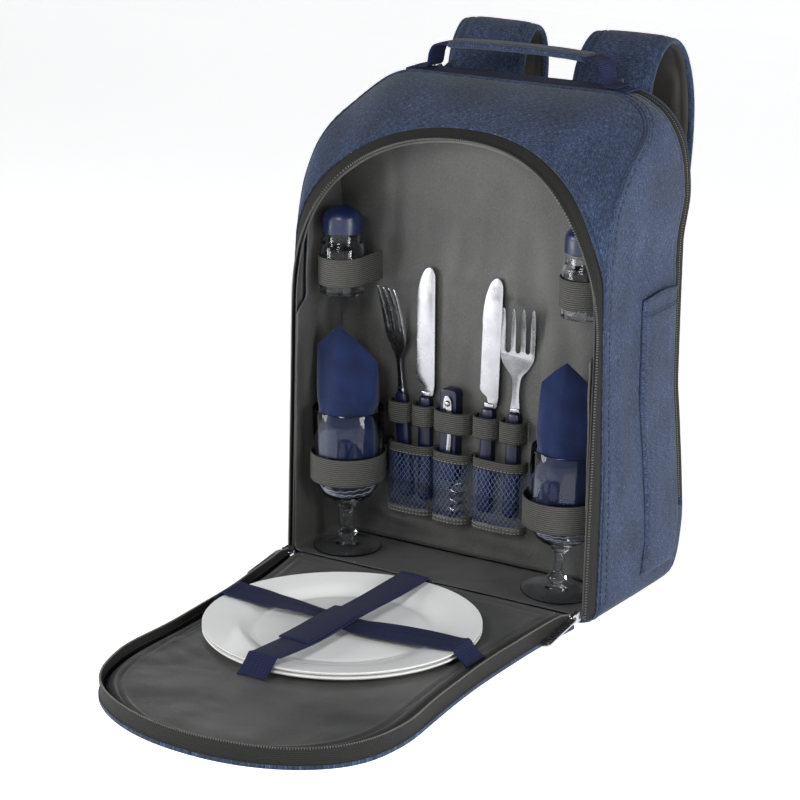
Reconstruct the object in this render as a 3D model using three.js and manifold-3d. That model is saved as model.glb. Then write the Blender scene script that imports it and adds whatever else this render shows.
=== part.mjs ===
// A picnic cooler backpack, opened: the front door lies on the floor with two plates strapped to it, and the
// front compartment holds two glasses with napkins, cutlery, a folding corkscrew and two shakers.
// Millimetres, +Z up, +X to the right of someone who looks into the open door, +Y towards the wearer's back.
// The origin is the middle of the pack's base, on the floor.
import * as THREE from "three";
import Module from "manifold-3d";
import { mergeVertices } from "three/addons/utils/BufferGeometryUtils.js";

// Pack body
const packHeight = 428;
const packDepth = 168; // door hinge to the rear seam at its deepest
const halfWidthAtBase = 155;
const halfWidthAtTop = 150;
const topCornerRadius = 54;
const baseCornerRadius = 9;
const shellThickness = 4; // fabric over insulating foam
const sidePuff = 1.5; // how far the sides stand out between their seams
const seamGap = 0.4; // clearance between neighbouring pieces

// Seam between the front panel and the sides, as shares of the pack's height and depth
const SIDE_SEAM = [
  { up: 0.0, back: 0.02 },
  { up: 0.02, back: 0.1 },
  { up: 0.04, back: 0.127 },
  { up: 0.25, back: 0.131 },
  { up: 0.41, back: 0.113 },
  { up: 0.61, back: 0.101 },
  { up: 0.69, back: 0.107 },
  { up: 0.785, back: 0.149 },
  { up: 0.857, back: 0.256 },
  { up: 0.9, back: 0.393 },
  { up: 0.935, back: 0.565 },
  { up: 0.97, back: 0.667 },
  { up: 1.0, back: 0.702 },
];

// Seam round the back panel: the pack is hollowed at the middle of the wearer's back and rounded under
const REAR_SEAM = [
  { up: 0.0, back: 0.8 },
  { up: 0.012, back: 0.87 },
  { up: 0.03, back: 0.93 },
  { up: 0.07, back: 0.975 },
  { up: 0.13, back: 1.0 },
  { up: 0.2, back: 0.985 },
  { up: 0.33, back: 0.94 },
  { up: 0.43, back: 0.905 },
  { up: 0.7, back: 0.915 },
  { up: 0.8, back: 0.98 },
  { up: 0.86, back: 0.96 },
  { up: 0.93, back: 0.92 },
  { up: 1.0, back: 0.89 },
];

// Front face and its arched opening
const openingHalfWidth = 151;
const openingLength = 391; // measured along the face, from the hinge to the arch's top
const openingStraight = 232; // height of its straight sides
const archSquareness = 2.14; // 2 is an ellipse
const faceBendStart = 290; // the face leans back above this
const faceLean = 1.4; // degrees, below the bend
const faceLeanAtTop = 36.8; // degrees, at the arch's top
const panelThickness = 3;
const panelBulge = 0.085; // share of the panel's width
const zipTapeWidth = 12;
const zipTapeThickness = 1.5;
const pipingRadius = 1.7;

// Inside the front compartment
const compartmentDepth = 75;
const dividerThickness = 3;
const dividerHeight = 390;
const dividerCornerRadius = 70;
const dividerLean = 14; // how far its top comes forward
// How the divider leans, as shares of its height and of that lean
const DIVIDER_LEAN = [
  { up: 0.0, lean: 0.0 },
  { up: 0.6, lean: 0.0 },
  { up: 0.76, lean: 0.15 },
  { up: 0.88, lean: 0.5 },
  { up: 1.0, lean: 1.0 },
];
const wallClearance = 2.3; // between the pack's wall and the lining
const liningThickness = 1.5;
const liningHeight = 330;

// Rear
const backPanelThickness = 8;
const backPanelCrown = 4;
const backPanelEdge = 12; // width of its rounded edge
const rearZipWidth = 10;
const rearZipStart = 66; // height where the rear zip ends on each side
const rearZipThickness = 3;
const sidePocket = { height: 265, depth: 64, thickness: 1.6 };

// Door, lying open
const doorPanelThickness = 3;
const doorRimHeight = 17;
const doorRimThickness = 2.2;
const doorLiningTop = 12.8;
const doorSkew = 0.082; // the cloth lies pulled to one side, per unit of length
const doorHingeGap = 9;
const dishDepth = 4.5; // how far the plates press into the padding
// How the cloth pulls in along the door, as shares of its length and of the opening's half width there
const DOOR_PULL = [
  { along: 0.0, half: 0.95 },
  { along: 0.2, half: 0.89 },
  { along: 0.45, half: 0.86 },
  { along: 0.6, half: 0.87 },
  { along: 0.75, half: 0.93 },
  { along: 0.9, half: 1.02 },
  { along: 1.0, half: 1.04 },
];
const hingeRoll = 8; // height of the welt along the hinge
const slider = { width: 9, length: 13, height: 5, up: 10 };
const pullTab = { width: 9, length: 48, thickness: 1.6, drop: 10 };

// Carry handle
const handleSpan = 172;
const handleRise = 26;
const handleWidth = 25;
const webbingThickness = 2;
const gripThickness = 7;
const gripLength = 136;
const handleBaseLength = 218;

// Shoulder straps
const strapSpacing = 126; // between the straps' middles at the top
const strapSpread = 26; // each strap's foot lies this much further out
const strapWidth = 78;
const strapFootWidth = 56;
const strapThickness = 11;
// Middle line of a strap, as shares of the pack's depth behind its deepest point, and of its height
const STRAP_PATH = [
  { back: 0.05, up: 0.87 },
  { back: 0.05, up: 0.93 },
  { back: 0.075, up: 1.0 },
  { back: 0.14, up: 1.05 },
  { back: 0.25, up: 1.078 },
  { back: 0.36, up: 1.055 },
  { back: 0.425, up: 0.99 },
  { back: 0.435, up: 0.9 },
  { back: 0.4, up: 0.77 },
  { back: 0.34, up: 0.63 },
  { back: 0.28, up: 0.51 },
];
const buckle = { width: 34, height: 30, thickness: 5, slot: 6 };
const strapWebbingWidth = 25;
const webbingFoot = { up: 0.1, across: 0.8 }; // where the webbing meets the back panel, as shares

// Glasses with napkins
const glass = { rimRadius: 32, height: 130, wall: 1.7, sides: 14 };
// A glass's outside, as shares of its height and of its rim's radius
const GLASS_OUTSIDE = [
  { up: 0.0, out: 0.955 },
  { up: 0.012, out: 0.955 },
  { up: 0.03, out: 0.32 },
  { up: 0.06, out: 0.16 },
  { up: 0.085, out: 0.26 },
  { up: 0.12, out: 0.24 },
  { up: 0.135, out: 0.13 },
  { up: 0.27, out: 0.13 },
  { up: 0.3, out: 0.24 },
  { up: 0.33, out: 0.3 },
  { up: 0.36, out: 0.55 },
  { up: 0.42, out: 0.79 },
  { up: 0.52, out: 0.93 },
  { up: 1.0, out: 1.0 },
];
const bowlFloor = 0.35; // share of the glass's height
const glassBack = 36; // middle of a glass, behind the hinge line
// Where each glass stands: its distance from the side wall, its lean, its band's end round the glass
const GLASSES = [
  { side: "left", sign: -1, fromWall: 0.5, lean: 0, napkinTurn: 18, bandEnd: 420 },
  { side: "right", sign: 1, fromWall: 10, lean: 4, napkinTurn: 24, bandEnd: 360 },
];
const napkin = { width: 58, depth: 38, peak: 74, shoulder: 46 }; // heights above the rim
const elastic = { height: 25, thickness: 1.2 };
const glassBandUp = 66; // above the compartment's floor

// Shakers
const shaker = { radius: 19.5, height: 54, wall: 2, capRadius: 17.5, capHeight: 24, sides: 12 };
const shakerBack = 40;
const SHAKERS = [
  { side: "left", sign: -1, fromWall: 0.5, up: 240 },
  { side: "right", sign: 1, fromWall: 3.5, up: 254 },
];

// Cutlery pocket: elastic loops above, net below
const pocketFromLeftGlass = 22; // from the glass's middle
const pocketFromRightGlass = 52;
const CELLS = [
  { holds: "fork", share: 0.18, deep: 14 },
  { holds: "knife", share: 0.165, deep: 14 },
  { holds: "corkscrew", share: 0.28, deep: 17 },
  { holds: "knife", share: 0.19, deep: 14 },
  { holds: "fork", share: 0.185, deep: 14 },
];
const pouchSquareness = 3.2; // of each pouch seen from above; 2 is an ellipse
const loopBottom = 124;
const loopHeight = 19;
const pocketTop = 106;
const pocketBottom = 46;
const netThickness = 1;
const bindingHeight = 9;
const netGap = 7; // across a diamond of the net
const netStrand = 2.6;

// Cutlery
const cutleryHandle = { width: 13.5, thickness: 8, length: 96, foot: 54 };
const knife = { width: 19, length: 116, thickness: 1.6, tang: 10 };
const fork = { headWidth: 30, headLength: 62, tineLength: 42, neckLength: 34, neckWidth: 6.5, thickness: 2 };
const forkCurve = 11; // how far the tines' tips come forward
const CUTLERY_LEAN = [
  { cell: 0, side: "left", lean: 4, turn: -24 },
  { cell: 1, side: "left", lean: 0.5, turn: 0 },
  { cell: 3, side: "right", lean: -1.5, turn: 0 },
  { cell: 4, side: "right", lean: -2, turn: 22 },
];
const corkscrew = { width: 17, thickness: 11, length: 84, foot: 78 };
const lever = { width: 9, thickness: 1.8, length: 62 };
const worm = { radius: 4.2, wire: 1.4, turns: 4.5, length: 40 };

// Plates and their straps
const plate = { radius: 114, height: 10, thickness: 2.6, sides: 24 };
// A plate's upper face, as shares of its radius and height
const PLATE_PROFILE = [
  { out: 0.64, up: 0.0 },
  { out: 0.7, up: 0.2 },
  { out: 0.8, up: 0.62 },
  { out: 0.95, up: 0.92 },
  { out: 1.0, up: 1.0 },
];
const plateStep = 4; // height of one plate above the next
const plateAlong = 150; // plates' middle, from the hinge
const plateAcross = 8;
const plateStrap = { width: 27, thickness: 1.2 };
// Straps over the plates: distance from the plates' middle as shares of their radius, height as shares of theirs
const LONG_STRAP = [
  { out: -1.12, up: -0.55 },
  { out: -1.03, up: 0.85 },
  { out: -0.97, up: 1.27 },
  { out: -0.5, up: 1.12 },
  { out: 0.0, up: 1.16 },
  { out: 0.5, up: 1.12 },
  { out: 0.97, up: 1.27 },
  { out: 1.03, up: 0.85 },
  { out: 1.12, up: -0.55 },
];
const CROSS_STRAP = [
  { out: -1.07, up: -0.55 },
  { out: -1.045, up: 0.85 },
  { out: -0.97, up: 1.27 },
  { out: -0.5, up: 1.12 },
  { out: 0.0, up: 1.16 },
  { out: 0.5, up: 1.12 },
  { out: 0.97, up: 1.27 },
  { out: 1.03, up: 0.85 },
  { out: 1.14, up: -0.55 },
];

const radians = THREE.MathUtils.degToRad;
const clamp = THREE.MathUtils.clamp;
const point = (x, y, z) => new THREE.Vector3(x, y, z);
const fromHinge = (distance) => distance - packDepth / 2;
const hingeY = fromHinge(0);

const wasm = await Module();
wasm.setup();

const pack = new THREE.Group();

const FINISH = {
  canvas: { color: 0x3d5579, roughness: 0.9 },
  canvasDark: { color: 0x2b3a54, roughness: 0.9 },
  lining: { color: 0x55554f, roughness: 0.7 },
  tape: { color: 0x3a3935, roughness: 0.8 },
  elastic: { color: 0x5a584f, roughness: 0.85 },
  net: { color: 0x2c3346, roughness: 0.9 },
  webbing: { color: 0x1b2550, roughness: 0.85 },
  napkin: { color: 0x14245c, roughness: 0.9 },
  plate: { color: 0xf2f1f0, roughness: 0.25 },
  glass: { color: 0xdfe6ee, roughness: 0.05 },
  steel: { color: 0xc9c9cc, roughness: 0.2, metalness: 1 },
  plastic: { color: 0x1c2a4a, roughness: 0.4 },
  buckle: { color: 0x1d1d1f, roughness: 0.5 },
};

function add(name, geometry, finish, parent = pack) {
  const mesh = new THREE.Mesh(geometry, new THREE.MeshStandardMaterial(FINISH[finish]));
  mesh.name = name;
  parent.add(mesh);
  return mesh;
}

// Value of a table's column at a place along another column
function lookUp(table, from, to, at) {
  const next = table.findIndex((row, i) => i > 0 && at <= row[from]);
  const i = next < 0 ? table.length - 1 : next;
  const [a, b] = [table[i - 1], table[i]];
  const t = clamp((at - a[from]) / (b[from] - a[from]), 0, 1);
  return a[to] + (b[to] - a[to]) * t;
}

// Newell's normal of a ring of points
function ringNormal(ring) {
  const normal = new THREE.Vector3();
  ring.forEach((p, i) => {
    const q = ring[(i + 1) % ring.length];
    normal.x += (p.y - q.y) * (p.z + q.z);
    normal.y += (p.z - q.z) * (p.x + q.x);
    normal.z += (p.x - q.x) * (p.y + q.y);
  });
  return normal.normalize();
}

// Triangles that close a ring
function capFaces(ring, first) {
  const normal = ringNormal(ring);
  const u = (Math.abs(normal.x) < 0.9 ? point(1, 0, 0) : point(0, 1, 0)).cross(normal).normalize();
  const v = normal.clone().cross(u);
  const flat = ring.map((p) => new THREE.Vector2(p.dot(u), p.dot(v)));
  return THREE.ShapeUtils.triangulateShape(flat, []).map((face) => face.map((k) => first + k));
}

// A closed solid through rings of points, each with as many points as the next
function loft(rings, closed = false) {
  const count = rings[0].length;
  const faces = [];
  const spans = closed ? rings.length : rings.length - 1;
  for (let i = 0; i < spans; i++) {
    const [here, there] = [i * count, ((i + 1) % rings.length) * count];
    for (let j = 0; j < count; j++) {
      const k = (j + 1) % count;
      faces.push([here + j, here + k, there + k], [here + j, there + k, there + j]);
    }
  }
  if (!closed) {
    const last = (rings.length - 1) * count;
    faces.push(...capFaces(rings[0], 0).map((face) => face.reverse()));
    faces.push(...capFaces(rings[rings.length - 1], last));
  }
  const geometry = new THREE.BufferGeometry();
  const positions = rings.flat().flatMap((p) => p.toArray());
  geometry.setAttribute("position", new THREE.Float32BufferAttribute(positions, 3));
  geometry.setIndex(faces.flat());
  return faceOut(geometry);
}

// Turns every face round if the solid is inside out
function faceOut(geometry) {
  const position = geometry.getAttribute("position");
  const index = Array.from(geometry.getIndex().array);
  const corner = (i) => new THREE.Vector3().fromBufferAttribute(position, index[i]);
  let volume = 0;
  for (let i = 0; i < index.length; i += 3) {
    volume += corner(i).dot(corner(i + 1).cross(corner(i + 2)));
  }
  if (volume < 0) geometry.setIndex(index.reverse());
  return geometry;
}

function solidOf(geometry) {
  const plain = geometry.clone();
  plain.deleteAttribute("normal");
  plain.deleteAttribute("uv");
  const merged = mergeVertices(plain, 1e-4);
  const vertProperties = merged.attributes.position.array;
  const triVerts = new Uint32Array(merged.index.array);
  return new wasm.Manifold(new wasm.Mesh({ numProp: 3, vertProperties, triVerts }));
}

function geometryOf(solid) {
  const mesh = solid.getMesh();
  const geometry = new THREE.BufferGeometry();
  geometry.setAttribute("position", new THREE.Float32BufferAttribute(mesh.vertProperties, 3));
  geometry.setIndex(Array.from(mesh.triVerts));
  return geometry;
}

const cut = (piece, ...tools) => geometryOf(tools.map(solidOf).reduce((a, b) => a.subtract(b), solidOf(piece)));

// A polyline in the floor plane, moved sideways; positive is to the right of its run
function offset(path, distance) {
  return path.map((p, i) => {
    const before = path[Math.max(i - 1, 0)];
    const after = path[Math.min(i + 1, path.length - 1)];
    const run = after.clone().sub(before).normalize();
    return new THREE.Vector2(p.x + run.y * distance, p.y - run.x * distance);
  });
}

// A ribbon that stands on edge along a polyline in the floor plane
function standingRibbon(path, thickness, bottom, height) {
  const outline = [...offset(path, thickness / 2), ...offset(path, -thickness / 2).reverse()];
  const ribbon = new THREE.ExtrudeGeometry(new THREE.Shape(outline), { depth: height, bevelEnabled: false });
  return ribbon.translate(0, 0, bottom);
}

const FLAT_SECTION = [[1, 1], [-1, 1], [-1, -1], [1, -1]];
const PADDED_SECTION = [
  [1, 0], [0.95, 0.7], [0.82, 1], [-0.82, 1], [-0.95, 0.7],
  [-1, 0], [-0.95, -0.7], [-0.82, -1], [0.82, -1], [0.95, -0.7],
];

// A strap along a line of points; its width lies along a fixed direction
function strap(line, { across, width, thickness, section = FLAT_SECTION }) {
  return loft(
    line.map((middle, i) => {
      const before = line[Math.max(i - 1, 0)];
      const after = line[Math.min(i + 1, line.length - 1)];
      const normal = after.clone().sub(before).cross(across).normalize();
      const wide = typeof width === "function" ? width(i / (line.length - 1)) : width;
      return section.map(([u, v]) =>
        middle
          .clone()
          .addScaledVector(across, (u * wide) / 2)
          .addScaledVector(normal, (v * thickness) / 2),
      );
    }),
  );
}

function box(width, depth, height, x, y, z) {
  return new THREE.BoxGeometry(width, depth, height).translate(x, y, z);
}

// A turned solid from the outline of one half, given as [radius, height]
function turned(profile, sides) {
  const points = profile.map(([radius, height]) => new THREE.Vector2(radius, height));
  return new THREE.LatheGeometry(points, sides).rotateX(Math.PI / 2);
}

// Pack's outline seen from the front
const bodyOutline = {
  top: packHeight,
  base: 0,
  atBase: halfWidthAtBase,
  atTop: halfWidthAtTop,
  topRadius: topCornerRadius,
  baseRadius: baseCornerRadius,
};

const inset = (outline, distance) => ({
  top: outline.top - distance,
  base: outline.base + distance,
  atBase: outline.atBase - distance,
  atTop: outline.atTop - distance,
  topRadius: Math.max(outline.topRadius - distance, 1),
  baseRadius: Math.max(outline.baseRadius - distance, 1),
});

// Half width of an outline at a height
function halfWidth({ top, base, atBase, atTop, topRadius, baseRadius }, z) {
  const rise = clamp((z - base) / (top - base), 0, 1);
  const straight = atBase + (atTop - atBase) * rise;
  const cornerCut = (radius, distance) => {
    const into = clamp(radius - distance, 0, radius);
    return radius - Math.sqrt(radius ** 2 - into ** 2);
  };
  return straight - cornerCut(baseRadius, z - base) - cornerCut(topRadius, top - z);
}

// The body's outline as a ring of places with outward normals, anticlockwise from the base's middle
function bodyRing() {
  const { top, base, atBase, atTop, topRadius, baseRadius } = bodyOutline;
  const right = [{ x: atBase * 0.45, z: base, nx: 0, nz: -1 }];
  const corner = (x, z, radius, from, steps) => {
    for (let i = 0; i <= steps; i++) {
      const angle = radians(from + (90 * i) / steps);
      const [nx, nz] = [Math.cos(angle), Math.sin(angle)];
      right.push({ x: x + radius * nx, z: z + radius * nz, nx, nz });
    }
  };
  corner(atBase - baseRadius, base + baseRadius, baseRadius, -90, 4);
  const [sideStart, sideEnd] = [base + baseRadius, top - topRadius];
  const even = Array.from({ length: 7 }, (_, i) => sideStart + ((sideEnd - sideStart) * (i + 1)) / 8);
  const seams = [rearZipStart - 1, rearZipStart, openingStraight, sideStart + 6, sideStart + 16];
  for (const z of [...even, ...seams].sort((a, b) => a - b)) {
    right.push({ x: halfWidth(bodyOutline, z), z, nx: 1, nz: 0 });
  }
  const topWidth = atTop - topRadius;
  corner(topWidth, top - topRadius, topRadius, 0, 8);
  right.push({ x: topWidth * 0.5, z: top, nx: 0, nz: 1 });
  const left = right.map((p) => ({ ...p, x: -p.x, nx: -p.nx })).reverse();
  return [{ x: 0, z: base, nx: 0, nz: -1 }, ...right, { x: 0, z: top, nx: 0, nz: 1 }, ...left];
}

const ring = bodyRing();
const ringTop = ring.findIndex((p) => p.x === 0 && p.z === packHeight);
const frontSeam = (z) => fromHinge(packDepth * lookUp(SIDE_SEAM, "up", "back", z / packHeight));
const rearSeam = (z) => fromHinge(packDepth * lookUp(REAR_SEAM, "up", "back", z / packHeight));
const rearFace = (z) => rearSeam(z) + seamGap + backPanelThickness;

// Point of the front face on the pack's middle plane, at a distance along it from the hinge
function faceAt(along) {
  const steps = 60;
  const step = along / steps;
  let [y, z] = [0, shellThickness];
  for (let i = 0; i < steps; i++) {
    const share = clamp(((i + 0.5) * step - faceBendStart) / (openingLength - faceBendStart), 0, 1);
    const lean = radians(faceLean + (faceLeanAtTop - faceLean) * share ** 1.5);
    y += Math.sin(lean) * step;
    z += Math.cos(lean) * step;
  }
  return { y: fromHinge(y), z };
}

// Place on the opening's arch, from its foot at 0 to its top at 1: half width and distance along the face
function archPlace(share) {
  const turn = radians(90 * share);
  const power = 2 / archSquareness;
  return {
    half: share === 1 ? 0 : openingHalfWidth * Math.cos(turn) ** power,
    along: openingStraight + (openingLength - openingStraight) * Math.sin(turn) ** power,
  };
}

// The opening's edge and the seam round the front panel, matched place by place from the lower left, over the
// top, to the lower right
function frontEdges() {
  const side = ring.slice(0, ringTop + 1).filter((p) => p.nz >= 0 || p.z > baseCornerRadius / 2);
  const seam = side.map((p) => point(p.x, frontSeam(p.z), p.z));
  const foot = side.findIndex((p) => p.z === openingStraight);
  const run = seam.map((p, i) => (i <= foot ? 0 : p.distanceTo(seam[i - 1])));
  const length = run.reduce((a, b) => a + b);
  let passed = 0;
  const pairs = seam.map((end, i) => {
    passed += run[i];
    const straight = { half: openingHalfWidth, along: side[i].z - shellThickness };
    const { half, along } = i < foot ? straight : archPlace(i === seam.length - 1 ? 1 : passed / length);
    const { y, z } = faceAt(along);
    return { edge: point(half, y, z), seam: end };
  });
  const flip = (p) => point(-p.x, p.y, p.z);
  const left = pairs.map((pair) => ({ edge: flip(pair.edge), seam: flip(pair.seam) }));
  return [...left, ...pairs.slice(0, -1).reverse()];
}

const front = frontEdges().map((pair, i, all) => {
  const [before, after] = [all[Math.max(i - 1, 0)], all[Math.min(i + 1, all.length - 1)]];
  const run = after.edge.clone().add(after.seam).sub(before.edge).sub(before.seam).normalize();
  const width = pair.edge.distanceTo(pair.seam);
  const across = pair.seam.clone().sub(pair.edge).normalize();
  return { ...pair, across, width, normal: run.cross(across).normalize() };
});

// Point of the front surface, at a distance from the opening's edge and a height above the surface
function onFront({ edge, across, width, normal }, distance, lift) {
  const share = clamp(distance / width, 0, 1);
  const bulge = panelBulge * width * 4 * share * (1 - share);
  return edge.clone().addScaledVector(across, distance).addScaledVector(normal, bulge + lift);
}

// A strip of the front surface between two distances from the opening's edge
function frontStrip(from, to, thickness, cells) {
  return loft(
    front.map((place) => {
      const [start, end] = [from(place.width), to(place.width)];
      const distances = Array.from({ length: cells + 1 }, (_, k) => start + ((end - start) * k) / cells);
      return [
        ...distances.map((d) => onFront(place, d, 0)),
        ...distances.reverse().map((d) => onFront(place, d, -thickness)),
      ];
    }),
  );
}

function buildGusset() {
  add(
    "side_gusset",
    loft(
      ring.map((p) => {
        const start = frontSeam(p.z) + seamGap / 2;
        const end = rearSeam(p.z) - (p.z >= rearZipStart ? rearZipWidth + seamGap : 0);
        const at = (y, depth) => point(p.x - p.nx * depth, y, p.z - p.nz * depth);
        const puff = -sidePuff * (1 - Math.abs(p.nz));
        return [
          at(start, 0),
          at((start + end) / 2, puff),
          at(end, 0),
          at(end, shellThickness),
          at(start + shellThickness * 1.8, shellThickness),
        ];
      }),
      true,
    ),
    "canvas",
  );
}

function buildFront() {
  const seamRoom = 2 * (pipingRadius + seamGap);
  const tapeEnd = (width) => Math.min(zipTapeWidth, (width - seamRoom) * 0.8);
  add("opening_zip_tape", frontStrip(() => 0, tapeEnd, zipTapeThickness, 1), "tape");
  add(
    "front_panel",
    frontStrip((width) => tapeEnd(width) + 2 * seamGap, (width) => width - seamRoom, panelThickness, 2),
    "canvasDark",
  );
  const sides = 5;
  add(
    "seam_piping",
    loft(
      front.map(({ seam, across, normal }) => {
        const middle = seam.clone().addScaledVector(across, -pipingRadius - seamGap);
        middle.addScaledVector(normal, pipingRadius / 2);
        return Array.from({ length: sides }, (_, k) => {
          const angle = (k / sides) * 2 * Math.PI;
          return middle
            .clone()
            .addScaledVector(across, pipingRadius * Math.cos(angle))
            .addScaledVector(normal, pipingRadius * Math.sin(angle));
        });
      }),
    ),
    "canvasDark",
  );
}

function buildRear() {
  const half = ring.slice(0, ringTop + 1).filter((p) => p.z > rearZipStart);
  const first = rearZipStart + seamGap;
  const right = [{ x: halfWidth(bodyOutline, first), z: first, nx: 1, nz: 0 }, ...half.slice(0, -1)];
  const left = right.map((p) => ({ ...p, x: -p.x, nx: -p.nx }));
  add(
    "rear_zip_tape",
    loft(
      [...left, half[half.length - 1], ...right.reverse()].map((p) => {
        const end = rearSeam(p.z);
        const at = (y, depth) => point(p.x - p.nx * depth, y, p.z - p.nz * depth);
        const start = end - rearZipWidth;
        return [at(start, 0), at(end, 0), at(end, rearZipThickness), at(start, rearZipThickness)];
      }),
    ),
    "tape",
  );

  const corner = (p) => p.nz === 0 || p.nx > 0;
  add(
    "back_panel",
    loft(
      ring.slice(0, ringTop).filter(corner).map((p) => {
        const z = p.z - p.nz * seamGap;
        const wide = p.x - p.nx * seamGap;
        const inner = Math.max(wide - backPanelEdge, wide * 0.8);
        const start = rearSeam(p.z) + seamGap;
        const end = rearFace(p.z);
        const crown = backPanelCrown * Math.sin((Math.PI * p.z) / packHeight);
        return [
          point(-wide, start, z),
          point(wide, start, z),
          point(wide, start + 2, z),
          point(inner, end, z),
          point(inner * 0.55, end + crown, z),
          point(-inner * 0.55, end + crown, z),
          point(-inner, end, z),
          point(-wide, start + 2, z),
        ];
      }),
    ),
    "canvasDark",
  );

  for (const [side, sign] of [["left", -1], ["right", 1]]) {
    const stations = [0.08, 0.3, 0.55, 0.8, 1];
    add(
      `side_pocket_${side}`,
      loft(
        stations.map((share) => {
          const z = sidePocket.height * share;
          const end = rearSeam(z) - rearZipWidth - 2;
          const start = end - sidePocket.depth;
          const middle = (frontSeam(z) + rearSeam(z) - rearZipWidth) / 2;
          const reach = (rearSeam(z) - rearZipWidth - frontSeam(z)) / 2;
          const bulged = (y) => {
            const puff = sidePuff * clamp(1 - Math.abs(y - middle) / reach, 0, 1);
            return halfWidth(bodyOutline, z) + puff + seamGap;
          };
          const places = [start, Math.max(middle, start + 2), end];
          return [
            ...places.map((y) => point(sign * bulged(y), y, z)),
            ...places.reverse().map((y) => point(sign * (bulged(y) + sidePocket.thickness), y, z)),
          ];
        }),
      ),
      "canvas",
    );
  }
}

// Front face of the divider at a height
function dividerFace(z) {
  return fromHinge(compartmentDepth) - dividerLean * lookUp(DIVIDER_LEAN, "up", "lean", z / dividerHeight);
}

const liningInset = shellThickness + wallClearance;
const compartmentFloor = liningInset + liningThickness;

// Half width that the lining leaves free between two heights
function roomBetween(low, high) {
  return Math.min(halfWidth(bodyOutline, low), halfWidth(bodyOutline, high)) - compartmentFloor;
}

// Middle of something held in a band against the left or right wall
function besideWall({ sign, fromWall }, radius, low, high) {
  return sign * (roomBetween(low, high) - fromWall - elastic.thickness - seamGap - radius);
}

function buildCompartment() {
  const outline = {
    ...inset(bodyOutline, shellThickness + seamGap),
    top: dividerHeight,
    topRadius: dividerCornerRadius,
  };
  const rounded = [0.015, 0.03, 0.82, 0.92, 0.95, 0.975, 0.99];
  const shares = [...rounded, ...DIVIDER_LEAN.map(({ up }) => up)].sort((a, b) => a - b);
  add(
    "compartment_divider",
    loft(
      shares.map((share) => {
        const z = Math.max(share * dividerHeight, outline.base);
        const wide = halfWidth(outline, z);
        const y = dividerFace(z);
        return [
          point(-wide, y, z),
          point(wide, y, z),
          point(wide, y + dividerThickness, z),
          point(-wide, y + dividerThickness, z),
        ];
      }),
    ),
    "lining",
  );

  const low = [...ring.slice(ringTop), ...ring.slice(0, ringTop)].filter((p) => p.z < liningHeight);
  const ends = [-1, 1].map((sign) => ({
    x: sign * halfWidth(bodyOutline, liningHeight),
    z: liningHeight,
    nx: sign,
    nz: 0,
  }));
  const strip = [ends[0], ...low, ends[1]];
  add(
    "compartment_lining",
    loft(
      strip.map((p) => {
        const clear = Math.max(frontSeam(p.z) + panelThickness + pipingRadius, frontSeam(0) + seamGap);
        const start = p.z > openingStraight ? clear : frontSeam(0) + seamGap;
        const end = dividerFace(p.z) - seamGap;
        const at = (y, depth) => point(p.x - p.nx * depth, y, p.z - p.nz * depth);
        return [
          at(start, liningInset),
          at(end, liningInset),
          at(end, compartmentFloor),
          at(start, compartmentFloor),
        ];
      }),
    ),
    "lining",
  );
}

const doorLength = openingLength - doorHingeGap;
const doorPadBottom = doorPanelThickness + seamGap;
const plateBottom = doorLiningTop - dishDepth + seamGap;
const plateCentre = point(plateAcross, hingeY - plateAlong, plateBottom);

// Edge of the open door on the floor, from the hinge's left end round to its right end, moved in from its sides
// and from its hinge
function doorEdge(side, end = 0) {
  const [straightSteps, archSteps] = [4, 9];
  const straight = Array.from({ length: straightSteps }, (_, i) => ({
    half: openingHalfWidth,
    along: (openingStraight * i) / straightSteps,
  }));
  const arch = Array.from({ length: archSteps + 1 }, (_, i) => archPlace(i / archSteps));
  const half = [...straight, ...arch].map((place) => {
    const share = place.along / openingLength;
    const pulled = place.half * lookUp(DOOR_PULL, "along", "half", share);
    return { x: pulled, shift: doorSkew * place.along, y: hingeY - doorHingeGap - share * doorLength };
  });
  const left = half.map(({ x, shift, y }) => new THREE.Vector2(shift - x, y));
  const right = half.slice(0, -1).reverse();
  const edge = [...left, ...right.map(({ x, shift, y }) => new THREE.Vector2(shift + x, y))];
  const moved = offset(edge, -side);
  moved[0].y = moved[moved.length - 1].y = hingeY - doorHingeGap - end;
  return moved;
}

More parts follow.
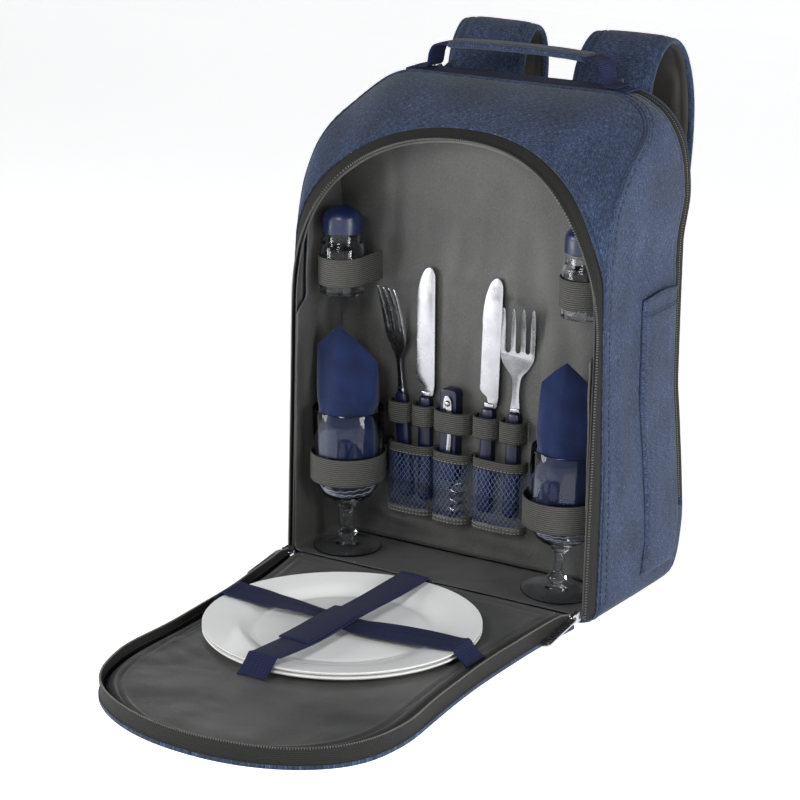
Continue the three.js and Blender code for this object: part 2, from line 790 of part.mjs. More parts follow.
function buildDoor() {
  const rimInset = doorRimThickness + seamGap;
  const flat = (inside, depth, bevel) => {
    const shape = new THREE.Shape(doorEdge(inside + bevel, bevel));
    const bevelOptions = { bevelEnabled: bevel > 0, bevelSize: bevel, bevelThickness: bevel, bevelSegments: 2 };
    return new THREE.ExtrudeGeometry(shape, { depth: depth - 2 * bevel, ...bevelOptions }).translate(0, 0, bevel);
  };
  add("door_panel", flat(rimInset, doorPanelThickness, 0), "canvas");
  add(
    "door_zip_tape",
    standingRibbon(doorEdge(doorRimThickness / 2), doorRimThickness, 0, doorRimHeight),
    "tape",
  );
  const padding = flat(rimInset, doorLiningTop - doorPadBottom, 1.5).translate(0, 0, doorPadBottom);
  const dishRadius = plate.radius * 0.7;
  const dish = turned(
    [[0, 0], [dishRadius, 0], [plate.radius * 0.95, dishDepth], [plate.radius, dishDepth + 2], [0, dishDepth + 2]],
    plate.sides,
  ).translate(plateCentre.x, plateCentre.y, doorLiningTop - dishDepth);
  add("door_lining", cut(padding, dish), "lining");

  const rollStart = hingeY - doorHingeGap + seamGap;
  const rollEnd = frontSeam(0) - seamGap;
  const rollWidth = openingHalfWidth * 2 * DOOR_PULL[0].half - 2 * rimInset;
  const rollDepth = rollEnd - rollStart;
  const ROLL = [[0, 0], [1, 0], [1, 0.6], [0.8, 0.92], [0.5, 1], [0.2, 0.92], [0, 0.6]];
  add(
    "door_hinge",
    loft(
      [-0.5, -0.2, 0.1, 0.35, 0.5].map((share) =>
        ROLL.map(([back, up]) => point(share * rollWidth, rollStart + back * rollDepth, up * hingeRoll)),
      ),
    ),
    "lining",
  );

  const corners = doorEdge(0);
  for (const [side, sign, corner] of [["left", -1, corners[0]], ["right", 1, corners[corners.length - 1]]]) {
    const group = new THREE.Group();
    group.position.set(corner.x + sign * (seamGap + slider.height / 2), corner.y, slider.up);
    pack.add(group);
    const [halfLength, halfWide] = [slider.length / 2, slider.width / 2];
    const body = new THREE.Shape(
      [[-1, -0.6], [-0.6, -1], [1, -0.75], [1, 0.75], [-0.6, 1], [-1, 0.6]].map(
        ([along, across]) => new THREE.Vector2(along * halfLength, across * halfWide),
      ),
    );
    const sliderBody = new THREE.ExtrudeGeometry(body, { depth: slider.height, bevelEnabled: false });
    sliderBody.translate(0, 0, -slider.height / 2).rotateX(Math.PI / 2).rotateZ(Math.PI / 2);
    add(`zip_slider_${side}`, sliderBody, "steel", group);
    const [half, long] = [pullTab.width / 2, pullTab.length];
    const tab = new THREE.Shape(
      [[-half, 0], [half, 0], [half, long - 3], [half - 2, long], [2 - half, long], [-half, long - 3]].map(
        ([x, y]) => new THREE.Vector2(x, y),
      ),
    );
    tab.holes.push(new THREE.Path().absarc(0, half, 2.2, 0, 2 * Math.PI, true));
    const pull = new THREE.ExtrudeGeometry(tab, { depth: pullTab.thickness, bevelEnabled: false, curveSegments: 5 });
    pull.rotateX(Math.PI).rotateX(radians(pullTab.drop));
    pull.translate(sign * (half - slider.height / 2), -halfLength - seamGap - 0.3, slider.width / 4);
    add(`zip_pull_${side}`, pull, "steel", group);
  }
}

function buildHandle() {
  const [y, seat] = [fromHinge(packDepth * SIDE_SEAM.at(-1).back) + handleWidth / 2 + 1, packHeight + seamGap];
  add(
    "handle_base",
    box(handleBaseLength, handleWidth, webbingThickness, 0, y, seat + webbingThickness / 2),
    "webbing",
  );
  const foot = seat + webbingThickness + seamGap;
  const top = foot + handleRise;
  const across = point(0, 1, 0);
  for (const [side, sign] of [["left", -1], ["right", 1]]) {
    const at = (x, z) => point(sign * x, y, z);
    const path = [
      at(handleSpan / 2 + 14, foot + webbingThickness / 2),
      at(handleSpan / 2 + 4, foot + webbingThickness / 2),
      at(handleSpan / 2, foot + webbingThickness + 3),
      at(handleSpan / 2 - 1, foot + handleRise * 0.5),
      at(handleSpan / 2 - 5, top - gripThickness / 2 - 2),
      at(handleSpan / 2 - 12, top - gripThickness / 2),
      at(gripLength / 2 + seamGap, top - gripThickness / 2),
    ];
    add(
      `handle_end_${side}`,
      strap(path, { across, width: handleWidth, thickness: webbingThickness }),
      "webbing",
    );
  }
  const grip = new THREE.CatmullRomCurve3([
    point(-gripLength / 2, y, top - gripThickness / 2),
    point(0, y, top - gripThickness / 2 + 2),
    point(gripLength / 2, y, top - gripThickness / 2),
  ]);
  const gripWidth = handleWidth + 2;
  add(
    "handle_grip",
    strap(grip.getPoints(6), { across, width: gripWidth, thickness: gripThickness, section: PADDED_SECTION }),
    "canvasDark",
  );
}

function buildShoulderStraps() {
  for (const [side, sign] of [["left", -1], ["right", 1]]) {
    const along = STRAP_PATH.map(({ back, up }, i) => {
      const spread = strapSpread * (i / (STRAP_PATH.length - 1)) ** 2;
      const x = sign * (strapSpacing / 2 + spread);
      return point(x, fromHinge(packDepth * (1 + back)), packHeight * up);
    });
    const curve = new THREE.CatmullRomCurve3(along);
    const width = (t) => strapWidth + (strapFootWidth - strapWidth) * clamp((t - 0.45) / 0.55, 0, 1);
    const across = point(1, 0, 0);
    add(
      `shoulder_strap_${side}`,
      strap(curve.getPoints(16), { across, width, thickness: strapThickness, section: PADDED_SECTION }),
      "canvasDark",
    );
    const end = curve.getPoint(1);
    const run = curve.getTangent(1);
    const group = new THREE.Group();
    group.position.copy(end).addScaledVector(run, buckle.height / 2 + seamGap);
    group.rotation.x = Math.atan2(run.y, -run.z);
    pack.add(group);
    const [w, h, s] = [buckle.width, buckle.height, buckle.slot];
    const frame = box(w, buckle.thickness, h, 0, 0, 0);
    const slots = [-1, 1].map((k) => box(w - 7, buckle.thickness * 2, s, 0, 0, (k * (h - s - 6)) / 2));
    add(`strap_buckle_${side}`, cut(frame, ...slots), "buckle", group);

    const anchorZ = packHeight * webbingFoot.up;
    const anchorX = sign * halfWidth(bodyOutline, anchorZ) * webbingFoot.across;
    const anchorY = rearFace(anchorZ) + backPanelCrown + webbingThickness;
    const below = group.position.clone().addScaledVector(run, buckle.height / 2 + seamGap);
    const webbing = new THREE.CatmullRomCurve3([
      below,
      point((below.x + anchorX) / 2, (below.y + anchorY) / 2 + 6, (below.z + anchorZ) / 2),
      point(anchorX, anchorY, anchorZ + 12),
      point(anchorX, anchorY, anchorZ - 14),
    ]);
    add(
      `strap_webbing_${side}`,
      strap(webbing.getPoints(9), { across, width: strapWebbingWidth, thickness: webbingThickness }),
      "webbing",
    );
  }
}

// Band that runs round something from the divider and back to it
function bandRound(x, y, radius, z, height, end = 360) {
  const wall = dividerFace(z + height) - seamGap;
  const reach = radius + elastic.thickness / 2 + seamGap;
  const steps = 12;
  const arc = Array.from({ length: steps + 1 }, (_, i) => {
    const angle = radians(180 + ((end - 180) * i) / steps);
    return new THREE.Vector2(x + reach * Math.cos(angle), y + reach * Math.sin(angle));
  });
  const path = [new THREE.Vector2(x - reach, wall), ...arc, new THREE.Vector2(arc[steps].x, wall)];
  return standingRibbon(path, elastic.thickness, z, height);
}

const bandZ = compartmentFloor + glassBandUp;
const glassX = Object.fromEntries(
  GLASSES.map((place) => [place.side, besideWall(place, glass.rimRadius, bandZ, bandZ + elastic.height)]),
);

function buildGlasses() {
  const { rimRadius, height, wall, sides } = glass;
  const outside = GLASS_OUTSIDE.map(({ up, out }) => [out * rimRadius, up * height]);
  const bowl = outside.filter(([, z]) => z > bowlFloor * height);
  const inside = [
    [0, bowlFloor * height + wall],
    ...bowl.map(([radius, z]) => [radius - wall, Math.min(z + wall * 0.6, height)]),
  ];
  const profile = [[0, 0], ...outside, ...[...inside].reverse()];
  for (const { side, lean, napkinTurn, bandEnd } of GLASSES) {
    const x = glassX[side];
    const group = new THREE.Group();
    const tip = rimRadius * Math.sin(radians(Math.abs(lean)));
    group.position.set(x, fromHinge(glassBack), compartmentFloor + seamGap + tip);
    group.rotation.y = radians(lean);
    pack.add(group);
    add(`wine_glass_${side}`, turned(profile, sides), "glass", group);

    const cloth = new THREE.Group();
    cloth.rotation.z = radians(napkinTurn);
    group.add(cloth);
    add(`napkin_${side}`, napkinGeometry(inside), "napkin", cloth);

    const drift = Math.tan(radians(lean)) * (glassBandUp + elastic.height / 2);
    const slack = Math.tan(radians(Math.abs(lean))) * elastic.height;
    add(
      `glass_band_${side}`,
      bandRound(x + drift, fromHinge(glassBack), rimRadius + slack, bandZ, elastic.height, bandEnd),
      "elastic",
    );
  }
}

// Folded napkin: round where it fills the bowl, flatter above the rim, with a pointed top
function napkinGeometry(bowlInside) {
  const bowl = bowlInside.map(([radius, up]) => ({ radius, up }));
  const sides = 14;
  const around = (wide, deep, height) =>
    Array.from({ length: sides }, (_, k) => {
      const angle = (k / sides) * 2 * Math.PI;
      const x = (wide / 2) * Math.cos(angle);
      return point(x, (deep / 2) * Math.sin(angle), typeof height === "function" ? height(x) : height);
    });
  const clearance = 1;
  const floor = bowlFloor * glass.height + glass.wall + clearance;
  const inBowl = [0.1, 0.25, 0.45, 0.7, 1].map((share) => {
    const up = floor + (glass.height - floor) * share;
    const radius = lookUp(bowl, "up", "radius", up - 1) - clearance;
    const deep = 2 * radius - (2 * radius - napkin.depth) * share;
    return around(Math.min(2 * radius, napkin.width), Math.min(deep, 2 * radius), up);
  });
  const { width, depth } = napkin;
  const roof = (drop) => (x) => {
    const slope = (napkin.peak - napkin.shoulder) * (1 - Math.abs(x) / (width / 2));
    return glass.height + napkin.shoulder + slope - drop;
  };
  return loft([
    ...inBowl,
    around(width, depth * 0.96, glass.height + napkin.shoulder * 0.5),
    around(width, depth * 0.9, roof(8)),
    around(width * 0.97, depth * 0.55, roof(0)),
  ]);
}

function buildShakers() {
  const { radius, height, wall, capRadius, capHeight, sides } = shaker;
  const shoulder = height - 8;
  const neck = capRadius - 1.5;
  const jar = [
    [0, 0], [radius - 2, 0], [radius, 2], [radius, shoulder - 3], [neck + 1, shoulder], [neck, height],
    [neck - wall, height], [neck - wall, shoulder - 1], [radius - wall, shoulder - 5],
    [radius - wall, wall + 1], [0, wall],
  ];
  const cap = [
    [0, height + seamGap], [capRadius - 0.6, height + seamGap], [capRadius, height + seamGap + 1],
    [capRadius, height + capHeight * 0.55], [capRadius * 0.93, height + capHeight * 0.78],
    [capRadius * 0.7, height + capHeight * 0.93], [capRadius * 0.35, height + capHeight], [0, height + capHeight],
  ];
  for (const place of SHAKERS) {
    const { side, up } = place;
    const x = besideWall(place, radius, up, up + height);
    const group = new THREE.Group();
    group.position.set(x, fromHinge(shakerBack), up);
    pack.add(group);
    add(`shaker_jar_${side}`, turned(jar, sides), "glass", group);
    add(`shaker_cap_${side}`, turned(cap, sides), "plastic", group);
    const bandHeight = elastic.height;
    add(
      `shaker_band_${side}`,
      bandRound(x, fromHinge(shakerBack), radius, up + (shoulder - bandHeight) / 2 - 1, bandHeight),
      "elastic",
    );
  }
}

const pocketWall = fromHinge(compartmentDepth) - seamGap;
const pocketLeft = glassX.left + pocketFromLeftGlass;
const pocketWidth = glassX.right - pocketFromRightGlass - pocketLeft;
const cellEdges = CELLS.reduce(
  (edges, { share }) => [...edges, edges[edges.length - 1] + share * pocketWidth],
  [pocketLeft],
);
const cellMiddle = (i) => (cellEdges[i] + cellEdges[i + 1]) / 2;

// Line of a pocket front over a run of cells: it leaves the wall at each seam and stands out between
function pouchLine(seams, thickness) {
  const steps = 8;
  const back = pocketWall - thickness / 2;
  return seams.slice(1).flatMap((right, i) => {
    const left = seams[i];
    const inCells = CELLS.filter((_, k) => cellMiddle(k) > left && cellMiddle(k) < right);
    const deep = Math.max(...inCells.map((cell) => cell.deep));
    const half = (right - left) / 2 - thickness;
    return Array.from({ length: steps + 1 }, (_, k) => {
      const t = k === 0 || k === steps ? Math.sign(k - 1) : -Math.cos((Math.PI * k) / steps);
      const out = (1 - Math.abs(t) ** pouchSquareness) ** (1 / pouchSquareness);
      return new THREE.Vector2((left + right) / 2 + half * t, back - deep * out);
    });
  });
}

function buildPocket() {
  const bays = [cellEdges[0], cellEdges[2], cellEdges[3], cellEdges[5]];
  add(
    "cutlery_loops",
    standingRibbon(pouchLine(cellEdges, elastic.thickness), elastic.thickness, loopBottom, loopHeight),
    "elastic",
  );
  const netTop = pocketTop - bindingHeight - seamGap;
  const line = pouchLine(bays, netThickness);
  const net = standingRibbon(line, netThickness, pocketBottom, netTop - pocketBottom);
  const gaps = [];
  const pitch = netGap + netStrand;
  for (let bay = 0; bay < bays.length - 1; bay++) {
    const [left, right] = [bays[bay], bays[bay + 1]];
    const columns = Math.floor((right - left - 14) / pitch);
    const rows = Math.floor((netTop - pocketBottom - 8) / pitch);
    for (let column = 0; column < columns; column++) {
      for (let row = 0; row < rows; row++) {
        const x = (left + right) / 2 + (column - (columns - 1) / 2) * pitch;
        const z = (pocketBottom + netTop) / 2 + (row - (rows - 1) / 2) * pitch;
        const diamond = new THREE.BoxGeometry(netGap * Math.SQRT1_2, 12, netGap * Math.SQRT1_2);
        gaps.push(diamond.rotateY(Math.PI / 4).translate(x, pocketWall - CELLS[0].deep - 1.5, z));
      }
    }
  }
  add("net_pocket", cut(net, ...gaps), "net");
  add(
    "pocket_binding",
    standingRibbon(pouchLine(bays, netThickness), netThickness, pocketTop - bindingHeight, bindingHeight),
    "elastic",
  );
}

// Bends a flat upright piece forward, by a distance worked out from its height
function bend(geometry, forward) {
  const position = geometry.getAttribute("position");
  for (let i = 0; i < position.count; i++) {
    position.setY(i, position.getY(i) - forward(position.getZ(i)));
  }
  return geometry;
}

// An upright plate from an outline of [across, up]
function uprightPlate(outline, thickness) {
  const shape = new THREE.Shape(outline.map(([x, z]) => new THREE.Vector2(x, z)));
  const plateBody = new THREE.ExtrudeGeometry(shape, { depth: thickness, bevelEnabled: false });
  return plateBody.rotateX(Math.PI / 2).translate(0, thickness / 2, 0);
}

function forkOutline() {
  const { headWidth, headLength, tineLength, neckLength, neckWidth } = fork;
  const root = neckLength + headLength - tineLength;
  const tip = neckLength + headLength;
  const right = [
    [neckWidth / 2 + 0.8, 0],
    [neckWidth / 2, neckLength * 0.6],
    [neckWidth / 2 + 1, neckLength],
    [headWidth * 0.36, neckLength + (root - neckLength) * 0.35],
    [headWidth * 0.48, neckLength + (root - neckLength) * 0.8],
    [headWidth * 0.5, root + tineLength * 0.35],
  ];
  const tine = headWidth / 7;
  const crown = [];
  for (let i = 3; i >= 0; i--) {
    const x = (i - 1.5) * 2 * tine;
    crown.push([x + tine / 2, root + tineLength * 0.55], [x + tine * 0.2, tip], [x - tine * 0.2, tip]);
    crown.push([x - tine / 2, root + tineLength * 0.55]);
    if (i > 0) crown.push([x - tine / 2, root + 1.5], [x - tine, root], [x - tine * 1.5, root + 1.5]);
  }
  const left = right.map(([x, z]) => [-x, z]).reverse();
  return [...right, ...crown, ...left];
}

function knifeOutline() {
  const { width, length, tang } = knife;
  return [
    [-0.02 * width, 0], [0.45 * width, 0], [0.5 * width, tang], [0.5 * width, 0.92 * length],
    [0.42 * width, 0.975 * length], [0.22 * width, length], [0, 0.985 * length],
    [-0.22 * width, 0.935 * length], [-0.4 * width, 0.84 * length], [-0.5 * width, 0.68 * length],
    [-0.5 * width, 1.7 * tang], [-0.4 * width, 1.25 * tang], [-0.08 * width, 0.9 * tang],
  ];
}

function buildCutlery() {
  const { width, thickness, length, foot } = cutleryHandle;
  const y = pocketWall - thickness / 2;
  const loopMiddle = loopBottom + loopHeight / 2;
  for (const { cell, side, lean, turn } of CUTLERY_LEAN) {
    const kind = CELLS[cell].holds;
    const group = new THREE.Group();
    const drift = Math.tan(radians(lean)) * (loopMiddle - foot);
    group.position.set(cellMiddle(cell) + drift, y, foot);
    group.rotation.y = -radians(lean);
    pack.add(group);
    const [w, t] = [width / 2, thickness / 2];
    const section = [[1, 0.35], [0.7, 0.9], [-0.7, 0.9], [-1, 0.35], [-1, -0.35], [-0.7, -0.9], [0.7, -0.9], [1, -0.35]];
    const rings = [[0, 0.8, 0.7], [4, 1, 1], [length - 8, 0.92, 1], [length, 0.8, 0.8]];
    add(
      `${kind}_handle_${side}`,
      loft(rings.map(([z, wide, deep]) => section.map(([u, v]) => point(u * w * wide, v * t * deep, z)))),
      "plastic",
      group,
    );
    const head = new THREE.Group();
    head.position.z = length + seamGap;
    head.rotation.z = radians(turn);
    group.add(head);
    if (kind === "knife") {
      add(`knife_blade_${side}`, uprightPlate(knifeOutline(), knife.thickness), "steel", head);
    } else {
      const reach = fork.neckLength + fork.headLength;
      const forward = (z) => forkCurve * clamp(z / reach, 0, 1) ** 2;
      add(`fork_${side}`, bend(uprightPlate(forkOutline(), fork.thickness), forward), "steel", head);
    }
  }
}

function buildCorkscrew() {
  const { width, thickness, length, foot } = corkscrew;
  const x = cellMiddle(2) - 4;
  const y = pocketWall - Math.max(thickness / 2, worm.radius + worm.wire);
  const bar = [
    [-0.4, 0], [0.4, 0], [0.5, 0.04], [0.5, 0.95], [0.38, 1], [-0.38, 1], [-0.5, 0.95], [-0.5, 0.04],
  ].map(([across, up]) => [across * width, up * length]);
  add("corkscrew_body", uprightPlate(bar, thickness).translate(x, y, foot), "plastic");

  const { width: wide, length: long } = lever;
  const hook = [
    [-0.45, 0], [0.3, 0], [0.5, 0.3], [0.45, 0.75], [0.5, 0.92], [0.2, 1], [-0.35, 1],
    [-0.5, 0.9], [-0.5, 0.8], [-0.1, 0.72], [0.0, 0.3], [-0.45, 0.12],
  ].map(([across, up]) => [across * wide, up * long]);
  const leverY = y - thickness / 2 - lever.thickness / 2 - seamGap;
  const leverFoot = foot + length - long - 4;
  add("corkscrew_lever", uprightPlate(hook, lever.thickness).translate(x + 1, leverY, leverFoot), "steel");

  const turns = new THREE.Curve();
  turns.getPoint = (t, target = new THREE.Vector3()) => {
    const taper = Math.min(1, (1 - t) * 6 + 0.1);
    const angle = 2 * Math.PI * worm.turns * t;
    const r = worm.radius * taper;
    return target.set(r * Math.cos(angle), r * Math.sin(angle), -worm.length * t);
  };
  const steps = Math.round(worm.turns * 8);
  const wire = new THREE.Shape().absarc(0, 0, worm.wire, 0, 2 * Math.PI);
  const helix = new THREE.ExtrudeGeometry(wire, { extrudePath: turns, steps, curveSegments: 3, bevelEnabled: false });
  add("corkscrew_worm", helix.translate(x + 6, y, foot - seamGap - worm.wire), "steel");
}

function buildPlates() {
  const { radius, height, thickness, sides } = plate;
  const upper = PLATE_PROFILE.map(({ out, up }) => [out * radius, thickness + up * (height - thickness)]);
  const lower = PLATE_PROFILE.map(({ out, up }) => [
    (out - 0.012 * (up > 0 ? 1 : 0)) * radius,
    up * (height - thickness),
  ]);
  const profile = [[0, 0], ...lower, ...upper.reverse(), [0, thickness]];
  ["lower", "upper"].forEach((name, i) => {
    const dish = turned(profile, sides).translate(plateCentre.x, plateCentre.y, plateCentre.z + i * plateStep);
    add(`plate_${name}`, dish, "plate");
  });

  const rim = plateStep + height;
  const { width, thickness: webbing } = plateStrap;
  const lining = doorLiningTop + seamGap + webbing / 2;
  const over = (table, direction, lift) =>
    table.map(({ out, up }) => {
      const z = Math.max(plateCentre.z + up * rim + lift, lining);
      return plateCentre.clone().setZ(z).addScaledVector(direction, out * radius);
    });
  const [right, back] = [point(1, 0, 0), point(0, 1, 0)];
  const cross = strap(over(CROSS_STRAP, right, 0), { across: back, width, thickness: webbing });
  add("plate_strap_cross", cross, "webbing");
  const long = strap(over(LONG_STRAP, back, webbing + seamGap), { across: right, width, thickness: webbing });
  add("plate_strap_long", long, "webbing");
}

buildGusset();
buildFront();
buildRear();
buildCompartment();
buildDoor();
buildHandle();
buildShoulderStraps();
buildGlasses();
buildShakers();
buildPocket();
buildCutlery();
buildCorkscrew();
buildPlates();

export default pack;
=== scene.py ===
# Cooler backpack with its picnic service: the finished surfaces round the packed model.
# Places are worked out in millimetres, +Z up, with the middle of the pack's base at the origin, and each
# piece is brought to metres when it is made.
import math

import bmesh
import bpy
import numpy as np
from mathutils import Matrix, Vector, noise


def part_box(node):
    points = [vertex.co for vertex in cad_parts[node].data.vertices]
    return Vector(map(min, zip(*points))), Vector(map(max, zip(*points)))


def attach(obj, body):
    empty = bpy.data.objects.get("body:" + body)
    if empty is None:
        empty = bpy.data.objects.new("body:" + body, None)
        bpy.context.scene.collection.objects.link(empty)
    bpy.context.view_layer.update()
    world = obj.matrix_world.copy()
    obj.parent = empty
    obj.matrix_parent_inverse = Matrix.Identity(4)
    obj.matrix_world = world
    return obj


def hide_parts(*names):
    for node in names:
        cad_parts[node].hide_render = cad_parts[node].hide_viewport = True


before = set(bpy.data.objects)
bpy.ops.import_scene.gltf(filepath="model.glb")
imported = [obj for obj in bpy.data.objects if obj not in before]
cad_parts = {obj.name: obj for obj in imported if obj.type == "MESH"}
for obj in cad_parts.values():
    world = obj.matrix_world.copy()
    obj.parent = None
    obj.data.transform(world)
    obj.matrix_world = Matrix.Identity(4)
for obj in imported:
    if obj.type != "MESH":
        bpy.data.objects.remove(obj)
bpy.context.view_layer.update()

bl_info = {
    "name": "Cooler backpack",
    "version": (1, 0, 0),
    "blender": (4, 5, 0),
    "location": "View3D > Sidebar > Backpack",
    "description": "Dresses the cooler backpack and its picnic service",
    "category": "Object",
}

MM = 0.001
UP = Vector((0, 0, 1))
ACROSS = Vector((1, 0, 0))
BACK = Vector((0, 1, 0))


def span(node):
    """Lowest and highest corners of a node of the frame, in millimetres"""
    return [Vector(corner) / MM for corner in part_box(node)]


# Pack body
PACK_HEIGHT = span("side_gusset")[1].z
PACK_DEPTH = 168
HINGE_Y = -PACK_DEPTH / 2
WALL = 4
SIDE_PUFF = 1.5
OUTLINE = {"top": PACK_HEIGHT, "base": 0, "at_base": 155, "at_top": 150, "top_radius": 54, "base_radius": 9}

# Seam between the front panel and the sides, as shares of the pack's height and depth
SIDE_SEAM = [
    (0.0, 0.02), (0.02, 0.1), (0.04, 0.127), (0.25, 0.131), (0.41, 0.113), (0.61, 0.101), (0.69, 0.107),
    (0.785, 0.149), (0.857, 0.256), (0.9, 0.393), (0.935, 0.565), (0.97, 0.667), (1.0, 0.702),
]
# Seam round the back panel
REAR_SEAM = [
    (0.0, 0.8), (0.012, 0.87), (0.03, 0.93), (0.07, 0.975), (0.13, 1.0), (0.2, 0.985), (0.33, 0.94),
    (0.43, 0.905), (0.7, 0.915), (0.8, 0.98), (0.86, 0.96), (0.93, 0.92), (1.0, 0.89),
]

# Front face and its arched opening
OPENING_HALF = 151
OPENING_LENGTH = 391
OPENING_STRAIGHT = 232
ARCH_SQUARENESS = 2.14
FACE_BEND = 290
FACE_LEAN = 1.4
FACE_LEAN_TOP = 36.8
PANEL_BULGE = 0.085
TAPE_WIDTH = 12
PIPING_RADIUS = 1.7
SEAM_GAP = 0.4

# Front compartment
COMPARTMENT_DEPTH = 75
DIVIDER_TOP = 390
DIVIDER_LEAN_BY = 14
DIVIDER_LEAN = [(0.0, 0.0), (0.6, 0.0), (0.76, 0.15), (0.88, 0.5), (1.0, 1.0)]
DIVIDER = {**OUTLINE, "top": DIVIDER_TOP, "base": 4.4, "at_base": 150.6, "at_top": 145.6, "top_radius": 70,
           "base_radius": 4.6}
FLOOR_UP = 7.8  # inside of the compartment's lining
# Folds of the inner wall: from a place across and up to another, how wide each is and how far it stands out
DIVIDER_FOLDS = [
    (-22, 300, -40, 150, 9, 2.2),
    (-8, 262, -30, 130, 7, 1.6),
    (40, 330, 30, 150, 12, 1.8),
    (30, 262, 66, 120, 9, 2.0),
    (62, 330, 78, 110, 11, 2.4),
    (-70, 350, -104, 120, 12, 2.4),
    (-52, 300, -78, 60, 9, 1.8),
    (-98, 330, -124, 60, 10, 2.2),
    (96, 350, 112, 90, 12, 2.2),
    (-60, 44, 40, 34, 6, 1.8),
    (-20, 30, 60, 24, 5, 1.4),
    (-110, 36, -40, 24, 6, 1.6),
]
# Folds of the compartment's left wall: place in from the opening, from and to a height, width and height
LEFT_WALL_FOLDS = [
    (12, 60, 250, 5, 0.9), (24, 20, 200, 5, -1.0), (36, 80, 320, 6, 1.1), (48, 20, 260, 5, -0.9),
    (60, 100, 330, 5, 0.9),
]

# Rear
REAR_ZIP_WIDTH = 10
REAR_ZIP_START = 66
BACK_PANEL = {"thickness": 8, "crown": 4, "edge": 12}
SIDE_POCKET = {"height": 265, "depth": 64, "foot": 0.08}
# Soft folds of the pack's sides: share of the depth, from and to a height, how wide and how high each is
SIDE_FOLDS = [
    (0.22, 40, 250, 9, 1.0),
    (0.4, 120, 330, 12, -1.1),
    (0.6, 20, 170, 10, 1.1),
    (0.78, 60, 240, 8, -0.9),
    (0.3, 270, 380, 12, 1.0),
]

# Door, lying open
DOOR_SKEW = 0.082
DOOR_GAP = 9
DOOR_PULL = [(0.0, 0.95), (0.2, 0.89), (0.45, 0.86), (0.6, 0.87), (0.75, 0.93), (0.9, 1.02), (1.0, 1.04)]
DOOR_LENGTH = OPENING_LENGTH - DOOR_GAP
DOOR_RIM = {"height": 17, "thickness": 2.2}
DOOR_PAD = {"bottom": 3.4, "top": 12.8, "inside": 2.6}
DISH = {"flat": 75, "edge": 112, "floor": 8.2}
# Folds of the door's lining: from a place across and along to another, with width and height
DOOR_FOLDS = [
    (-120, 40, -60, 20, 12, 0.9), (60, 14, 130, 40, 10, 1.0), (-110, 300, -70, 350, 14, 1.0),
    (60, 330, 120, 280, 14, -0.9), (-20, 372, 60, 366, 12, 0.8), (-128, 120, -112, 220, 10, -0.8),
    (118, 90, 122, 230, 9, 0.9), (-60, 30, 20, 22, 9, -0.8),
]

# Carry handle and shoulder straps
HANDLE = {"span": 172, "rise": 26, "width": 25, "thickness": 2, "grip": 7, "grip_length": 136}
STRAP = {"spacing": 126, "spread": 26, "width": 78, "foot": 56, "thickness": 11}
STRAP_PATH = [
    (0.05, 0.87), (0.05, 0.93), (0.075, 1.0), (0.14, 1.05), (0.25, 1.078), (0.36, 1.055), (0.425, 0.99),
    (0.435, 0.9), (0.4, 0.77), (0.34, 0.63), (0.28, 0.51),
]

# Glasses and napkins
GLASS = {"rim": 32, "height": 130, "wall": 1.7, "back": 36}
GLASS_OUTSIDE = [
    (0.0, 0.94), (0.004, 0.955), (0.012, 0.955), (0.018, 0.9), (0.03, 0.4), (0.045, 0.2), (0.06, 0.16),
    (0.075, 0.2), (0.085, 0.26), (0.105, 0.27), (0.12, 0.22), (0.135, 0.13), (0.2, 0.12), (0.27, 0.13),
    (0.29, 0.19), (0.3, 0.24), (0.315, 0.24), (0.33, 0.3), (0.345, 0.44), (0.36, 0.56), (0.39, 0.7),
    (0.42, 0.79),
    (0.46, 0.87), (0.52, 0.93), (0.65, 0.965), (0.8, 0.985), (1.0, 1.0),
]
BOWL_FLOOR = 0.35
GLASSES = [
    {"side": "left", "sign": -1, "from_wall": 0.5, "lean": 0, "turn": 18, "end": 420},
    {"side": "right", "sign": 1, "from_wall": 10, "lean": 4, "turn": 24, "end": 360},
]
NAPKIN = {"width": 58, "depth": 38, "peak": 74, "shoulder": 46, "left_of_middle": 0.16}
ELASTIC = {"height": 25, "thickness": 1.2}
GLASS_BAND_UP = 66

# Shakers
SHAKER = {"radius": 19.5, "height": 54, "wall": 2, "cap_radius": 17.5, "cap_height": 24, "back": 40}
SHAKERS = [
    {"side": "left", "sign": -1, "from_wall": 0.5, "up": 240},
    {"side": "right", "sign": 1, "from_wall": 3.5, "up": 254},
]

# Cutlery pocket
CELL_SHARES = [0.18, 0.165, 0.28, 0.19, 0.185]
CELL_DEPTHS = [14, 14, 17, 14, 14]
POUCH_SQUARENESS = 3.2
LOOPS = {"bottom": 124, "height": 19}
NET = {"bottom": 46, "top": 97, "diamond_wide": 4.6, "diamond_high": 6.4, "strand": 0.7}
BINDING = {"bottom": 97, "height": 9}

# Cutlery and corkscrew
CUTLERY = {"width": 13.5, "thickness": 8, "length": 96, "foot": 54}
KNIFE = {"width": 19, "length": 116, "thickness": 1.6, "tang": 10}
FORK = {"width": 30, "head": 62, "tines": 42, "neck": 34, "neck_width": 6.5, "thickness": 2, "curve": 11}
CUTLERY_LEAN = [
    {"cell": 0, "side": "left", "kind": "fork", "lean": 4, "turn": -24},
    {"cell": 1, "side": "left", "kind": "knife", "lean": 0.5, "turn": 0},
    {"cell": 3, "side": "right", "kind": "knife", "lean": -1.5, "turn": 0},
    {"cell": 4, "side": "right", "kind": "fork", "lean": -2, "turn": 22},
]

# Plates
PLATE = {"radius": 114, "height": 10, "thickness": 2.6, "step": 4}
PLATE_AT = Vector((8, HINGE_Y - 150, 8.7))
PLATE_STRAP = {"width": 27, "thickness": 1.4}


def clamp(value, low, high):
    return max(low, min(high, value))


def smoothly(share):
    """Eases from 0 to 1"""
    share = clamp(share, 0, 1)
    return share * share * (3 - 2 * share)


